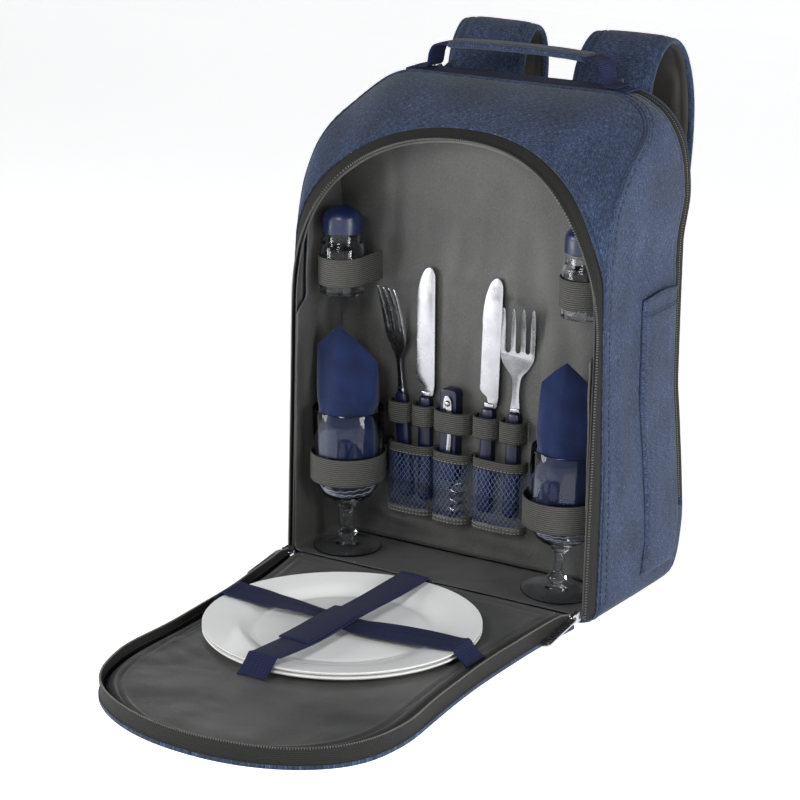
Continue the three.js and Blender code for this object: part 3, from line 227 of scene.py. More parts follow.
def hump(distance, width):
    """A rounded ridge, 1 at its crest"""
    return math.exp(-(distance / width) ** 2)


def arc_steps(degrees, steps):
    return [math.radians(degrees * k / steps) for k in range(steps + 1)]


def look_up(table, at):
    """Value at a place of a table, on a smooth line that never overshoots its rows"""
    if at <= table[0][0]:
        return table[0][1]
    if at >= table[-1][0]:
        return table[-1][1]
    i = max(k for k in range(len(table) - 1) if table[k][0] <= at)

    def secant(k):
        return (table[k + 1][1] - table[k][1]) / (table[k + 1][0] - table[k][0])

    def slope(k):
        if k in (0, len(table) - 1):
            return secant(min(k, len(table) - 2))
        before, after = secant(k - 1), secant(k)
        return 0 if before * after <= 0 else 2 * before * after / (before + after)

    (a, p), (b, q) = table[i], table[i + 1]
    run = b - a
    t = (at - a) / run
    return (
        (2 * t ** 3 - 3 * t ** 2 + 1) * p + (t ** 3 - 2 * t ** 2 + t) * run * slope(i)
        + (3 * t ** 2 - 2 * t ** 3) * q + (t ** 3 - t ** 2) * run * slope(i + 1)
    )


def soft_noise(x, y, size, seed):
    """Smooth random value from -1 to 1 over a surface, with features of one size"""
    return noise.noise(Vector((x / size, y / size, seed * 7.3 + 0.5)))


def folds(table, x, y):
    """How far cloth stands out at a place, from its table of folds"""
    out = 0
    for x0, y0, x1, y1, width, height in table:
        run = Vector((x1 - x0, y1 - y0))
        to = Vector((x - x0, y - y0))
        share = clamp(to.dot(run) / run.length_squared, 0, 1)
        bend = width * 0.8 * math.sin(share * 5 + x0)
        away = (to - run * share).length_squared ** 0.5 + 0.3 * bend * (1 if to.cross(run) > 0 else -1)
        out += height * math.sin(math.pi * (0.12 + 0.76 * share)) * hump(away, width)
    return out


def flowing(points, steps):
    """Smooth line through points, with a number of steps between each two"""
    points = [Vector(p) for p in points]
    line = []
    for i in range(len(points) - 1):
        before = points[max(i - 1, 0)]
        a, b = points[i], points[i + 1]
        after = points[min(i + 2, len(points) - 1)]
        for k in range(steps):
            t = k / steps
            line.append(
                0.5 * (2 * a + (b - before) * t + (2 * before - 5 * a + 4 * b - after) * t ** 2
                       + (3 * a - before - 3 * b + after) * t ** 3)
            )
    return line + [points[-1].copy()]


def lengths(line):
    total = [0]
    for a, b in zip(line, line[1:]):
        total.append(total[-1] + (b - a).length)
    return total


def even(line, count):
    """The same line with evenly spaced points"""
    total = lengths(line)
    spaced, i = [], 0
    for k in range(count + 1):
        wanted = total[-1] * k / count
        while i < len(line) - 2 and total[i + 1] < wanted:
            i += 1
        step = total[i + 1] - total[i]
        spaced.append(line[i].lerp(line[i + 1], (wanted - total[i]) / step if step else 0))
    return spaced


def at_share(line, share):
    k = clamp(share, 0, 1) * (len(line) - 1)
    i = min(int(k), len(line) - 2)
    return line[i].lerp(line[i + 1], k - i)


def tangent(line, share):
    k = clamp(share, 0, 1) * (len(line) - 1)
    i = min(int(k), len(line) - 2)
    return (line[i + 1] - line[i]).normalized()


def half_width(outline, z):
    """Half width of an outline at a height"""
    rise = clamp((z - outline["base"]) / (outline["top"] - outline["base"]), 0, 1)
    straight = outline["at_base"] + (outline["at_top"] - outline["at_base"]) * rise

    def corner_cut(radius, distance):
        into = clamp(radius - distance, 0, radius)
        return radius - math.sqrt(radius ** 2 - into ** 2)

    return (
        straight - corner_cut(outline["base_radius"], z - outline["base"])
        - corner_cut(outline["top_radius"], outline["top"] - z)
    )


def outline_half(outline, start=-90):
    """Right half of an outline as fine points (across, up), from the base's middle to the top's"""
    low, high = outline["base_radius"], outline["top_radius"]
    corner = Vector((outline["at_base"] - low, outline["base"] + low))
    top = Vector((outline["at_top"] - high, outline["top"] - high))
    line = [Vector((0, outline["base"]))] if start == -90 else []
    for i in range(13):
        angle = math.radians(start + (0 - start) * i / 12)
        line.append(corner + low * Vector((math.cos(angle), math.sin(angle))))
    for i in range(1, 60):
        z = corner.y + (top.y - corner.y) * i / 60
        line.append(Vector((half_width(outline, z), z)))
    for i in range(37):
        angle = math.radians(90 * i / 36)
        line.append(top + high * Vector((math.cos(angle), math.sin(angle))))
    return line + [Vector((0, outline["top"]))]


def ring_places(line):
    """Places (across, up) of a line with the directions that point out of it, on its right going along"""
    return [
        (p, Vector((run.y, -run.x)).normalized())
        for i, p in enumerate(line)
        for run in [line[min(i + 1, len(line) - 1)] - line[max(i - 1, 0)]]
    ]


def front_seam(z):
    return HINGE_Y + PACK_DEPTH * look_up(SIDE_SEAM, z / PACK_HEIGHT)


def rear_seam(z):
    return HINGE_Y + PACK_DEPTH * look_up(REAR_SEAM, z / PACK_HEIGHT)


def divider_face(z):
    return HINGE_Y + COMPARTMENT_DEPTH - DIVIDER_LEAN_BY * look_up(DIVIDER_LEAN, z / DIVIDER_TOP)


def face_line():
    """Front face on the pack's middle plane, as places (back, up) at every millimetre along it"""
    y, z, line = HINGE_Y, WALL, []
    for along in range(OPENING_LENGTH + 1):
        line.append(Vector((y, z)))
        share = clamp((along + 0.5 - FACE_BEND) / (OPENING_LENGTH - FACE_BEND), 0, 1)
        lean = math.radians(FACE_LEAN + (FACE_LEAN_TOP - FACE_LEAN) * share ** 1.5)
        y += math.sin(lean)
        z += math.cos(lean)
    return line


FACE = face_line()


def arch_place(share):
    """Half width and distance along the face on the opening's arch, from its foot at 0 to its top at 1"""
    turn = math.radians(90 * share)
    power = 2 / ARCH_SQUARENESS
    half = 0 if share >= 1 else OPENING_HALF * math.cos(turn) ** power
    return half, OPENING_STRAIGHT + (OPENING_LENGTH - OPENING_STRAIGHT) * math.sin(turn) ** power


def opening_half(along):
    """Half width of the opening at a distance along the face"""
    into = clamp((along - OPENING_STRAIGHT) / (OPENING_LENGTH - OPENING_STRAIGHT), 0, 1)
    return OPENING_HALF * (1 - into ** ARCH_SQUARENESS) ** (1 / ARCH_SQUARENESS)


def front_stations():
    """The opening's edge and the front panel's outer seam, matched from the lower left to the lower right"""
    side = even([p for p in outline_half(OUTLINE) if p.y > OUTLINE["base_radius"] / 2], 110)
    seam = [Vector((p.x, front_seam(p.y), p.y)) for p in side]
    foot = next(i for i, p in enumerate(side) if p.y > OPENING_STRAIGHT)
    passed = lengths(seam[foot:])
    right = []
    for i, end in enumerate(seam):
        half, along = OPENING_HALF, (end.z - WALL) * OPENING_STRAIGHT / (side[foot].y - WALL)
        if i >= foot:
            half, along = arch_place(passed[i - foot] / passed[-1])
        face = at_share(FACE, along / OPENING_LENGTH)
        right.append((Vector((half, face.x, face.y)), end))
    flip = Vector((-1, 1, 1))
    pairs = [(edge * flip, end * flip) for edge, end in right] + right[-2::-1]
    stations = []
    for i, (edge, end) in enumerate(pairs):
        before, after = pairs[max(i - 2, 0)], pairs[min(i + 2, len(pairs) - 1)]
        run = (after[0] + after[1] - before[0] - before[1]).normalized()
        across = (end - edge).normalized()
        stations.append({"edge": edge, "across": across, "width": (end - edge).length,
                         "normal": run.cross(across).normalized()})
    return stations


FRONT = front_stations()


def on_front(share, distance, lift):
    """Place on the front surface, at a share of the run round it and a distance from the opening's edge"""
    k = clamp(share, 0, 1) * (len(FRONT) - 1)
    i = min(int(k), len(FRONT) - 2)
    places = []
    for station in FRONT[i:i + 2]:
        into = clamp(distance / station["width"], 0, 1)
        bulge = PANEL_BULGE * station["width"] * 4 * into * (1 - into)
        places.append(station["edge"] + station["across"] * distance + station["normal"] * (bulge + lift))
    return places[0].lerp(places[1], k - i)


def front_width(share):
    k = clamp(share, 0, 1) * (len(FRONT) - 1)
    i = min(int(k), len(FRONT) - 2)
    return FRONT[i]["width"] + (FRONT[i + 1]["width"] - FRONT[i]["width"]) * (k - i)


def tape_end(share):
    return min(TAPE_WIDTH, (front_width(share) - 2 * (PIPING_RADIUS + SEAM_GAP)) * 0.8)


def door_place(across, along, inside=0):
    """Place on the open door, from -1 to 1 across and 0 to 1 along, kept inside its edge by a distance"""
    share = along * (1 - inside / DOOR_LENGTH)
    run = share * OPENING_LENGTH
    half = opening_half(run + inside * along) * look_up(DOOR_PULL, share)
    return Vector((DOOR_SKEW * run + across * max(half - inside, 0), HINGE_Y - DOOR_GAP - share * DOOR_LENGTH,
                   0))


def door_edge(outward=0, steps=260):
    """Edge of the open door, from the hinge's left end round to its right end, moved outward"""
    left = [door_place(-1, 1 - (1 - k / 200) ** 1.8) for k in range(201)]
    right = [door_place(1, 1 - (1 - k / 200) ** 1.8) for k in range(200, -1, -1)]
    line = even(left + right[1:], steps)
    moved = []
    for i, p in enumerate(line):
        run = (line[min(i + 1, steps)] - line[max(i - 1, 0)]).normalized()
        moved.append(p + Vector((run.y, -run.x, 0)) * -outward)
    return moved


def room_between(low, high):
    return min(half_width(OUTLINE, low), half_width(OUTLINE, high)) - FLOOR_UP


def beside_wall(row, radius, low, high):
    """Middle of something held against a side wall"""
    return row["sign"] * (room_between(low, high) - row["from_wall"] - ELASTIC["thickness"] - SEAM_GAP
                          - radius)


INNER_WALL_CUT = (300, 386)
STITCH_PITCH = 4.2
TOOTH_PITCH = 2.1
POCKET_WALL = HINGE_Y + COMPARTMENT_DEPTH - SEAM_GAP
POCKET_LEFT = span("pocket_binding")[0].x - 0.5
POCKET_RIGHT = span("pocket_binding")[1].x + 0.5
CELL_EDGES = [POCKET_LEFT + (POCKET_RIGHT - POCKET_LEFT) * sum(CELL_SHARES[:i]) for i in range(6)]
BAYS = [CELL_EDGES[0], CELL_EDGES[2], CELL_EDGES[3], CELL_EDGES[5]]


def cell_middle(i):
    return (CELL_EDGES[i] + CELL_EDGES[i + 1]) / 2


def pouch_line(seams, thickness, steps=18):
    """Line of a pocket's front over a run of cells, seen from above"""
    line = []
    for left, right in zip(seams, seams[1:]):
        deep = max(d for i, d in enumerate(CELL_DEPTHS) if left < cell_middle(i) < right)
        half = (right - left) / 2 - thickness
        for k in range(steps + 1):
            t = -math.cos(math.pi * k / steps)
            out = (1 - abs(t) ** POUCH_SQUARENESS) ** (1 / POUCH_SQUARENESS)
            line.append(Vector(((left + right) / 2 + half * t, POCKET_WALL - thickness / 2 - deep * out, 0)))
    return line


# Making of pieces

FINISHES = {}


def grid(columns, rows, place, closed=False, away_from=None):
    """A cloth from a grid: place turns shares across and along it into a point. UVs are in metres"""
    bm = bmesh.new()
    bmesh.ops.create_grid(bm, x_segments=columns, y_segments=rows, size=0.5)
    layer = bm.loops.layers.uv.new("UVMap")
    spots = {vert: (round((vert.co.x + 0.5) * columns), round((vert.co.y + 0.5) * rows)) for vert in bm.verts}
    for vert, (i, j) in spots.items():
        vert.co = place(i / columns, j / rows)
    at = {spot: vert.co for vert, spot in spots.items()}
    across = lengths([at[i, rows // 2] for i in range(columns + 1)])
    along = [lengths([at[i, j] for j in range(rows + 1)]) for i in range(columns + 1)]
    for face in bm.faces:
        for loop in face.loops:
            i, j = spots[loop.vert]
            loop[layer].uv = (across[i] * MM, (along[i][j] - along[i][rows // 2]) * MM)
    if closed:
        bmesh.ops.remove_doubles(bm, verts=bm.verts, dist=0.02)
    bmesh.ops.dissolve_degenerate(bm, edges=bm.edges, dist=0.001)
    if away_from is not None:
        bm.normal_update()
        out = sum(face.normal.dot(face.calc_center_median() - away_from) * face.calc_area()
                  for face in bm.faces)
        if out < 0:
            bmesh.ops.reverse_faces(bm, faces=bm.faces)
    return bm


def piece(name, bm, finish, nodes=(), wall=0, wall_side=-1, sharp=None):
    """Brings a shape to metres and makes it a piece that rides on the pack and stands for its nodes"""
    bmesh.ops.scale(bm, vec=Vector((MM, MM, MM)), verts=bm.verts)
    bm.normal_update()
    mesh = bpy.data.meshes.new(name)
    bm.to_mesh(mesh)
    bm.free()
    return dress(name, mesh, finish, nodes, wall, wall_side, sharp)


def dress(name, mesh, finish, nodes=(), wall=0, wall_side=-1, sharp=None):
    obj = bpy.data.objects.new(name, mesh)
    bpy.context.scene.collection.objects.link(obj)
    mesh.materials.append(FINISHES[finish])
    mesh.polygons.foreach_set("use_smooth", [True] * len(mesh.polygons))
    if sharp:
        mesh.set_sharp_from_angle(angle=math.radians(sharp))
    if wall:
        thick = obj.modifiers.new("Wall", "SOLIDIFY")
        thick.thickness = wall * MM
        thick.offset = wall_side
    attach(obj, "root")
    if nodes:
        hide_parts(*nodes)
    return obj


def repeated(name, shape, places, finish, nodes=()):
    """One mesh of a small shape set at each of many places, which are matrices in millimetres"""
    shape.verts.index_update()
    corners = np.array([[*vert.co, 1] for vert in shape.verts])
    faces = [[vert.index for vert in face.verts] for face in shape.faces]
    shape.free()
    points = np.concatenate([(corners @ np.array(place).T)[:, :3] for place in places]) * MM
    count = len(corners)
    every = [[k + i * count for k in face] for i in range(len(places)) for face in faces]
    mesh = bpy.data.meshes.new(name)
    mesh.from_pydata(points.tolist(), [], every)
    return dress(name, mesh, finish, nodes)


def declare_sheet(obj, flat):
    """Works out the width and length in metres that a cloth was cut to, from millimetres raised to at least
    10 each way, and does nothing more with them; the piece is returned as it is

    Where the modelled cloth is smaller than that rectangle, its own area is declared as the flat one, so for
    such a cloth the area is no separate measure.
    """
    wide, long = max(flat[0], 10) * MM, max(flat[1], 10) * MM
    return obj


def aimed(place, along, out):
    """Matrix that stands a small shape at a place, its X along a direction and its Z out of the cloth"""
    x = along.normalized()
    y = out.cross(x).normalized()
    z = x.cross(y)
    turned_to = Matrix((x, y, z)).transposed().to_4x4()
    return Matrix.Translation(place) @ turned_to


def small_block(length, width, height):
    """A block with trimmed corners, for a stitch or a zip tooth"""
    bm = bmesh.new()
    bmesh.ops.create_cube(bm, size=1)
    bmesh.ops.scale(bm, vec=Vector((length, width, height)), verts=bm.verts)
    ends = [vert for vert in bm.verts if vert.co.z > 0]
    bmesh.ops.scale(bm, vec=Vector((0.7, 0.7, 1)), verts=ends)
    return bm


def sewn(line, pitch, out):
    """Places of stitches or teeth along a line; out gives the way off the cloth at a share of it"""
    count = max(int(lengths(line)[-1] / pitch), 1)
    return [
        aimed(at_share(line, share), tangent(line, share), out(share))
        for share in [(k + 0.5) / count for k in range(count)]
    ]


def turned(profile, steps, merge=0.001):
    """A turned shape from the outline of one half, as (radius, height)"""
    bm = bmesh.new()
    verts = [bm.verts.new((radius, 0, z)) for radius, z in profile]
    for a, b in zip(verts, verts[1:]):
        bm.edges.new((a, b))
    bmesh.ops.spin(bm, geom=bm.verts[:] + bm.edges[:], axis=UP, cent=(0, 0, 0), angle=2 * math.pi,
                   steps=steps,
                   use_merge=True)
    bmesh.ops.remove_doubles(bm, verts=bm.verts, dist=merge)
    bmesh.ops.recalc_face_normals(bm, faces=bm.faces)
    return bm


def slab(outline, thickness, bevel=0, segments=2):
    """An upright slab from an outline (across, up), its middle plane at 0"""
    bm = bmesh.new()
    face = bm.faces.new([bm.verts.new((x, -thickness / 2, z)) for x, z in outline])
    made = bmesh.ops.extrude_face_region(bm, geom=[face])
    moved = [v for v in made["geom"] if isinstance(v, bmesh.types.BMVert)]
    bmesh.ops.translate(bm, vec=Vector((0, thickness, 0)), verts=moved)
    bmesh.ops.recalc_face_normals(bm, faces=bm.faces)
    if bevel:
        rims = [e for e in bm.edges if abs(e.verts[0].co.y - e.verts[1].co.y) < 1e-4]
        bmesh.ops.bevel(bm, geom=rims, offset=bevel, offset_type="OFFSET", segments=segments, profile=0.6,
                        affect="EDGES", material=-1, clamp_overlap=True)
    return bm


def block(low, high, bevel=0, segments=2):
    """A rounded block between two corners"""
    bm = bmesh.new()
    bmesh.ops.create_cube(bm, size=1)
    low, high = Vector(low), Vector(high)
    bmesh.ops.scale(bm, vec=high - low, verts=bm.verts)
    bmesh.ops.translate(bm, vec=(low + high) / 2, verts=bm.verts)
    if bevel:
        bmesh.ops.bevel(bm, geom=bm.edges[:], offset=bevel, offset_type="OFFSET", segments=segments,
                        profile=0.5,
                        affect="EDGES", material=-1, clamp_overlap=True)
    return bm


def joined(*shapes):
    """Several shapes in one"""
    first = shapes[0]
    for other in shapes[1:]:
        mesh = bpy.data.meshes.new("part")
        other.to_mesh(mesh)
        other.free()
        first.from_mesh(mesh)
        bpy.data.meshes.remove(mesh)
    return first


def closed_ends(bm, sides):
    """Fills a tube's ends and turns its faces outward"""
    bmesh.ops.holes_fill(bm, edges=[e for e in bm.edges if e.is_boundary], sides=sides)
    bmesh.ops.recalc_face_normals(bm, faces=bm.faces)
    return bm


def placed(bm, matrix):
    bmesh.ops.transform(bm, matrix=matrix, verts=bm.verts)
    return bm


def tube(line, radius, sides, lean=None):
    """A round cord along a line, closed at its ends"""

    def place(s, t):
        run = tangent(line, t)
        side = (lean or UP).cross(run).normalized()
        up = run.cross(side)
        angle = 2 * math.pi * s
        return at_share(line, t) + radius * (math.cos(angle) * side + math.sin(angle) * up)

    bm = grid(sides, len(line) - 1, place, closed=True)
    closed_ends(bm, sides + 1)
    return bm


def ribbon(line, across, width, columns=6, crown=0):
    """A strap along a line, with its width in one direction"""
    wide = width if callable(width) else lambda t: width

    def place(s, t):
        normal = tangent(line, t).cross(across).normalized()
        return at_share(line, t) + across * (s - 0.5) * wide(t) + normal * crown * 4 * s * (1 - s)

    return grid(columns, len(line) - 1, place)


def standing(line, bottom, height, rows=6, lean=None):
    """A ribbon that stands on edge along a line in the floor plane"""
    total = lengths(line)[-1]
    line = even(line, max(int(total / 2), 8))

    def place(s, t):
        out = lean(s, t) if lean else Vector((0, 0, 0))
        return at_share(line, s) + UP * (bottom + height * t) + out

    return grid(len(line) - 1, rows, place), total


# Finishes

def colour(code, alpha=1.0):
    """Linear colour of an sRGB hex value"""
    parts = [int(code[i:i + 2], 16) / 255 for i in (1, 3, 5)]
    return [p / 12.92 if p <= 0.04045 else ((p + 0.055) / 1.055) ** 2.4 for p in parts] + [alpha]


def node(tree, kind, settings=None, sockets=None):
    """Adds a node, sets it up, and fills or joins its sockets"""
    made = tree.nodes.new(kind)
    for name, value in (settings or {}).items():
        setattr(made, name, value)
    for key, value in (sockets or {}).items():
        if isinstance(value, bpy.types.NodeSocket):
            tree.links.new(value, made.inputs[key])
        else:
            made.inputs[key].default_value = value
    return made


def finish(key, name, **sockets):
    """Starts a material and returns it with its tree and shader"""
    material = bpy.data.materials.new(name)
    material.use_nodes = True
    tree = material.node_tree
    shader = tree.nodes["Principled BSDF"]
    for socket, value in sockets.items():
        shader.inputs[socket.replace("_", " ").title().replace("Ior", "IOR")].default_value = value
    FINISHES[key] = material
    return tree, shader


def scaled(tree, source, scale):
    return node(tree, "ShaderNodeMapping", sockets={"Vector": source, "Scale": scale}).outputs[0]


def streaks(tree, source, long, thin, seed):
    """Noise drawn out into streaks of a length across and a height, both in metres"""
    stretched = node(tree, "ShaderNodeMapping", sockets={
        "Vector": source, "Location": (seed, seed * 1.7, 0), "Scale": (1 / long, 1 / thin, 1)})
    return node(tree, "ShaderNodeTexNoise", {"noise_dimensions": "2D"}, {
        "Vector": stretched.outputs[0], "Scale": 1.0, "Detail": 2.0, "Roughness": 0.6}).outputs["Fac"]


def maths(tree, operation, a, b=0.0, c=0.0):
    return node(tree, "ShaderNodeMath", {"operation": operation}, {0: a, 1: b, 2: c}).outputs[0]


def blended(tree, factor, a, b, mode="MIX"):
    return node(tree, "ShaderNodeMix", {"data_type": "RGBA", "blend_type": mode},
                {0: factor, 6: a, 7: b}).outputs[2]


def ranged(tree, value, low, high, to_low=0.0, to_high=1.0):
    return node(tree, "ShaderNodeMapRange", {"interpolation_type": "SMOOTHSTEP"}, {
        "Value": value, "From Min": low, "From Max": high, "To Min": to_low, "To Max": to_high}).outputs[0]


def bands(tree, source, spacing, direction="X"):
    """Even ribs at a spacing in metres"""
    return node(tree, "ShaderNodeTexWave", {"wave_type": "BANDS", "bands_direction": direction,
                                            "wave_profile": "SIN"}, {
        "Vector": source, "Scale": 2 * math.pi / 20 / spacing, "Distortion": 0.0}).outputs["Fac"]


def raised(tree, shader, height, distance, strength=1.0):
    """Bump with a height in metres"""
    bump = node(tree, "ShaderNodeBump", sockets={"Height": height, "Distance": distance,
                                                 "Strength": strength})
    tree.links.new(bump.outputs[0], shader.inputs["Normal"])


def uv_of(tree):
    return node(tree, "ShaderNodeUVMap", {"uv_map": "UVMap"}).outputs[0]


def object_of(tree):
    return node(tree, "ShaderNodeTexCoord").outputs["Object"]


def canvas_finish(key, name, dark, mid, light):
    """Heathered polyester canvas: slubbed yarns of mixed blues, drawn at 1 mm for a real 0.5 mm"""
    tree, shader = finish(key, name, roughness=0.88, sheen_weight=0.12, sheen_roughness=0.5,
                          specular_ior_level=0.25)
    uv = uv_of(tree)
    weft = streaks(tree, uv, 0.0045, 0.0006, 3.0)
    warp = streaks(tree, uv, 0.0006, 0.004, 11.0)
    over = ranged(tree, maths(tree, "MULTIPLY", bands(tree, uv, 0.0014, "X"), bands(tree, uv, 0.0014, "Y")),
                  0.1, 0.5)
    yarn = node(tree, "ShaderNodeMix", {"data_type": "FLOAT"}, {
        0: maths(tree, "MULTIPLY_ADD", over, 0.5, 0.25), 2: weft, 3: warp}).outputs[0]
    patches = node(tree, "ShaderNodeTexNoise", {"noise_dimensions": "2D"}, {
        "Vector": uv, "Scale": 22.0, "Detail": 3.0, "Roughness": 0.55}).outputs["Fac"]
    tone = maths(tree, "MULTIPLY_ADD", maths(tree, "SUBTRACT", patches, 0.5), 0.16, yarn)
    base = blended(tree, ranged(tree, tone, 0.33, 0.52), dark, mid)
    base = blended(tree, ranged(tree, tone, 0.52, 0.72), base, light)
    tree.links.new(base, shader.inputs["Base Color"])
    threads = maths(tree, "ADD", bands(tree, uv, 0.0011, "X"), bands(tree, uv, 0.0011, "Y"))
    height = maths(tree, "MULTIPLY_ADD", yarn, 2.2, threads)
    raised(tree, shader, height, 0.00012, 0.8)


def lining_finish(key, name, dark, light, rough):
    """Coated polyester lining: a smooth satin face over foam, with a faint weave and soft sheen"""
    tree, shader = finish(key, name, specular_ior_level=0.45, sheen_weight=0.06)
    place = object_of(tree)
    cloud = node(tree, "ShaderNodeTexNoise", sockets={"Vector": place, "Scale": 9.0,
                                                      "Detail": 4.0}).outputs["Fac"]
    fine = node(tree, "ShaderNodeTexNoise", sockets={"Vector": place, "Scale": 900.0,
                                                     "Detail": 1.0}).outputs["Fac"]
    tone = maths(tree, "MULTIPLY_ADD", maths(tree, "SUBTRACT", fine, 0.5), 0.5, cloud)
    base = blended(tree, ranged(tree, tone, 0.3, 0.75), colour(dark), colour(light))
    tree.links.new(base, shader.inputs["Base Color"])
    tree.links.new(ranged(tree, cloud, 0.3, 0.7, rough, rough + 0.1), shader.inputs["Roughness"])
    crease = node(tree, "ShaderNodeTexNoise", sockets={
        "Vector": scaled(tree, place, (1, 1, 0.35)), "Scale": 45.0, "Detail": 2.0}).outputs["Fac"]
    drape = node(tree, "ShaderNodeTexNoise", sockets={
        "Vector": scaled(tree, place, (1, 1, 0.4)), "Scale": 15.0, "Detail": 1.0,
        "Distortion": 0.8}).outputs["Fac"]
    height = maths(tree, "MULTIPLY_ADD", drape, 34.0, maths(tree, "MULTIPLY_ADD", crease, 5.0, fine))
    raised(tree, shader, height, 0.00012, 0.9)


def ribbed_finish(key, name, dark, light, spacing, turn, depth, rough):
    """Narrow woven goods: ribs at a real spacing along or across the band, with painted light on them: the
    colour is lighter on the crests and darker in the grooves
    """
    tree, shader = finish(key, name, roughness=rough, sheen_weight=0.03, specular_ior_level=0.25)
    uv = uv_of(tree)
    ribs = bands(tree, uv, spacing, "Y" if turn == 0 else "X")
    cross = bands(tree, uv, spacing * 0.8, "X" if turn == 0 else "Y")
    mottled = streaks(tree, uv, 0.003, 0.0012, 5.0)
    # Painted shade of the ribs: the rib bands lighten the crests and darken the grooves; the mottle adds
    # random tone
    tone = maths(tree, "MULTIPLY_ADD", ribs, 0.6, maths(tree, "MULTIPLY", mottled, 0.5))
    base = blended(tree, ranged(tree, tone, 0.2, 0.85), colour(dark), colour(light))
    tree.links.new(base, shader.inputs["Base Color"])
    raised(tree, shader, maths(tree, "MULTIPLY_ADD", cross, 0.3, ribs), depth, 0.9)


def cotton_finish():
    """Plain woven cotton: matt and even, with a fine weave and painted light on it, its ridges slightly
    lighter in colour than its hollows
    """
    tree, shader = finish("napkin", "Napkin cotton, woven", roughness=0.92, sheen_weight=0.2,
                          specular_ior_level=0.2)
    uv = uv_of(tree)
    weave = maths(tree, "MULTIPLY", bands(tree, uv, 0.001, "X"), bands(tree, uv, 0.001, "Y"))
    cloud = node(tree, "ShaderNodeTexNoise", sockets={"Vector": uv, "Scale": 40.0,
                                                      "Detail": 4.0}).outputs["Fac"]
    # Painted light in the weave: the colour is a little lighter on the weave's ridges and darker in its
    # hollows; the cloud adds random tone
    tone = maths(tree, "MULTIPLY_ADD", weave, 0.25, cloud)
    base = blended(tree, ranged(tree, tone, 0.3, 0.85), colour("#0c1634"), colour("#152750"))
    tree.links.new(base, shader.inputs["Base Color"])
    raised(tree, shader, maths(tree, "MULTIPLY_ADD", cloud, 3.0, weave), 0.00012, 0.7)


def plain_finish(key, name, code, rough, scale, spread, bump=0.0, worn=0.86, **sockets):
    """A moulded, drawn or plated surface: one colour with handling marks in its gloss"""
    tree, shader = finish(key, name, **sockets)
    place = object_of(tree)
    marks = node(tree, "ShaderNodeTexNoise", sockets={"Vector": place, "Scale": scale,
                                                      "Detail": 5.0}).outputs["Fac"]
    dark = [c * worn for c in colour(code)[:3]] + [1]
    tree.links.new(blended(tree, ranged(tree, marks, 0.3, 0.6), dark, colour(code)),
                   shader.inputs["Base Color"])
    tree.links.new(ranged(tree, marks, 0.3, 0.7, rough, rough + spread), shader.inputs["Roughness"])
    if bump:
        raised(tree, shader, marks, bump, 0.4)


def acrylic_finish(key, name, tint):
    """Clear cast acrylic: bright edges and thin highlights over what stands behind it"""
    tree, shader = finish(key, name, transmission_weight=1.0, ior=1.34, specular_ior_level=0.3)
    shader.inputs["Base Color"].default_value = colour(tint)
    place = object_of(tree)
    haze = node(tree, "ShaderNodeTexNoise", sockets={"Vector": place, "Scale": 30.0,
                                                     "Detail": 1.0}).outputs["Fac"]
    tree.links.new(ranged(tree, haze, 0.4, 0.8, 0.0, 0.02), shader.inputs["Roughness"])


def make_finishes():
    chosen = bpy.context.scene.backpack_colours
    canvas_finish("canvas", "Polyester canvas, heathered", chosen.canvas_dark, chosen.canvas,
                  chosen.canvas_light)
    lining_finish("lining", "Lining, coated satin", "#363635", "#4d4d4c", 0.38)
    lining_finish("strap_lining", "Strap backing, spacer cloth", "#1d1b1a", "#2c2927", 0.7)
    ribbed_finish("zip_tape", "Zip tape, knitted polyester", "#0f0f0e", "#1f1f1e", 0.0016, 0, 0.0002, 0.75)
    ribbed_finish("elastic", "Elastic, ribbed", "#282827", "#565652", 0.0018, 0, 0.00045, 0.8)
    ribbed_finish("webbing", "Webbing, ribbed polyester", "#080b22", "#141c46", 0.0019, 0, 0.0004, 0.75)
    ribbed_finish("net", "Net, knitted nylon", "#2f3f66", "#6b7fae", 0.0012, 90, 0.0001, 0.7)
    cotton_finish()
    # Twisted polyester shows as a row of pale dashes
    plain_finish("thread", "Sewing thread, polyester", "#8c8c88", 0.7, 300.0, 0.1)
    # Overlock thread shows as fine white lines through the glass
    plain_finish("hem", "Overlock thread, white", "#c9cfdf", 0.7, 300.0, 0.1)
    # Thread in the canvas's own blue shows only as a dotted seam
    plain_finish("blue_thread", "Sewing thread, blue", "#1c2a48", 0.7, 300.0, 0.1)
    # Moulded nylon catches the light on each tooth
    plain_finish("zip_coil", "Zip coil, nylon", "#5c5c56", 0.4, 300.0, 0.2)
    # Melamine is hard and white, with a clear gloss over it
    plain_finish("plate", "Melamine, moulded and polished", "#f3f3f2", 0.16, 60.0, 0.05, worn=0.985,
                 coat_weight=0.3)
    acrylic_finish("clear_acrylic", "Acrylic, clear cast", "#f4f7fb")
    # Polished steel mirrors the room, dulled by fine wiping marks
    plain_finish("steel", "Stainless steel, polished", "#b3b4b8", 0.2, 90.0, 0.1, metallic=1.0)
    # Chromed zinc is brighter and smoother than the steel
    plain_finish("zip_metal", "Zinc, die cast and chromed", "#bfc0c4", 0.16, 200.0, 0.14, metallic=1.0)
    # Polished ABS is deep navy with a tight highlight
    plain_finish("handle_plastic", "ABS, moulded and polished", "#0c1430", 0.28, 120.0, 0.12, 0.00004)
    # Polypropylene is waxier, with a softer highlight
    plain_finish("cap_plastic", "Polypropylene cap, moulded", "#101c3e", 0.3, 120.0, 0.12, 0.00004)
    # Acetal is near black with a low sheen
    plain_finish("buckle", "Acetal, moulded", "#1b1b1c", 0.42, 160.0, 0.12, 0.00005)


# Pack body

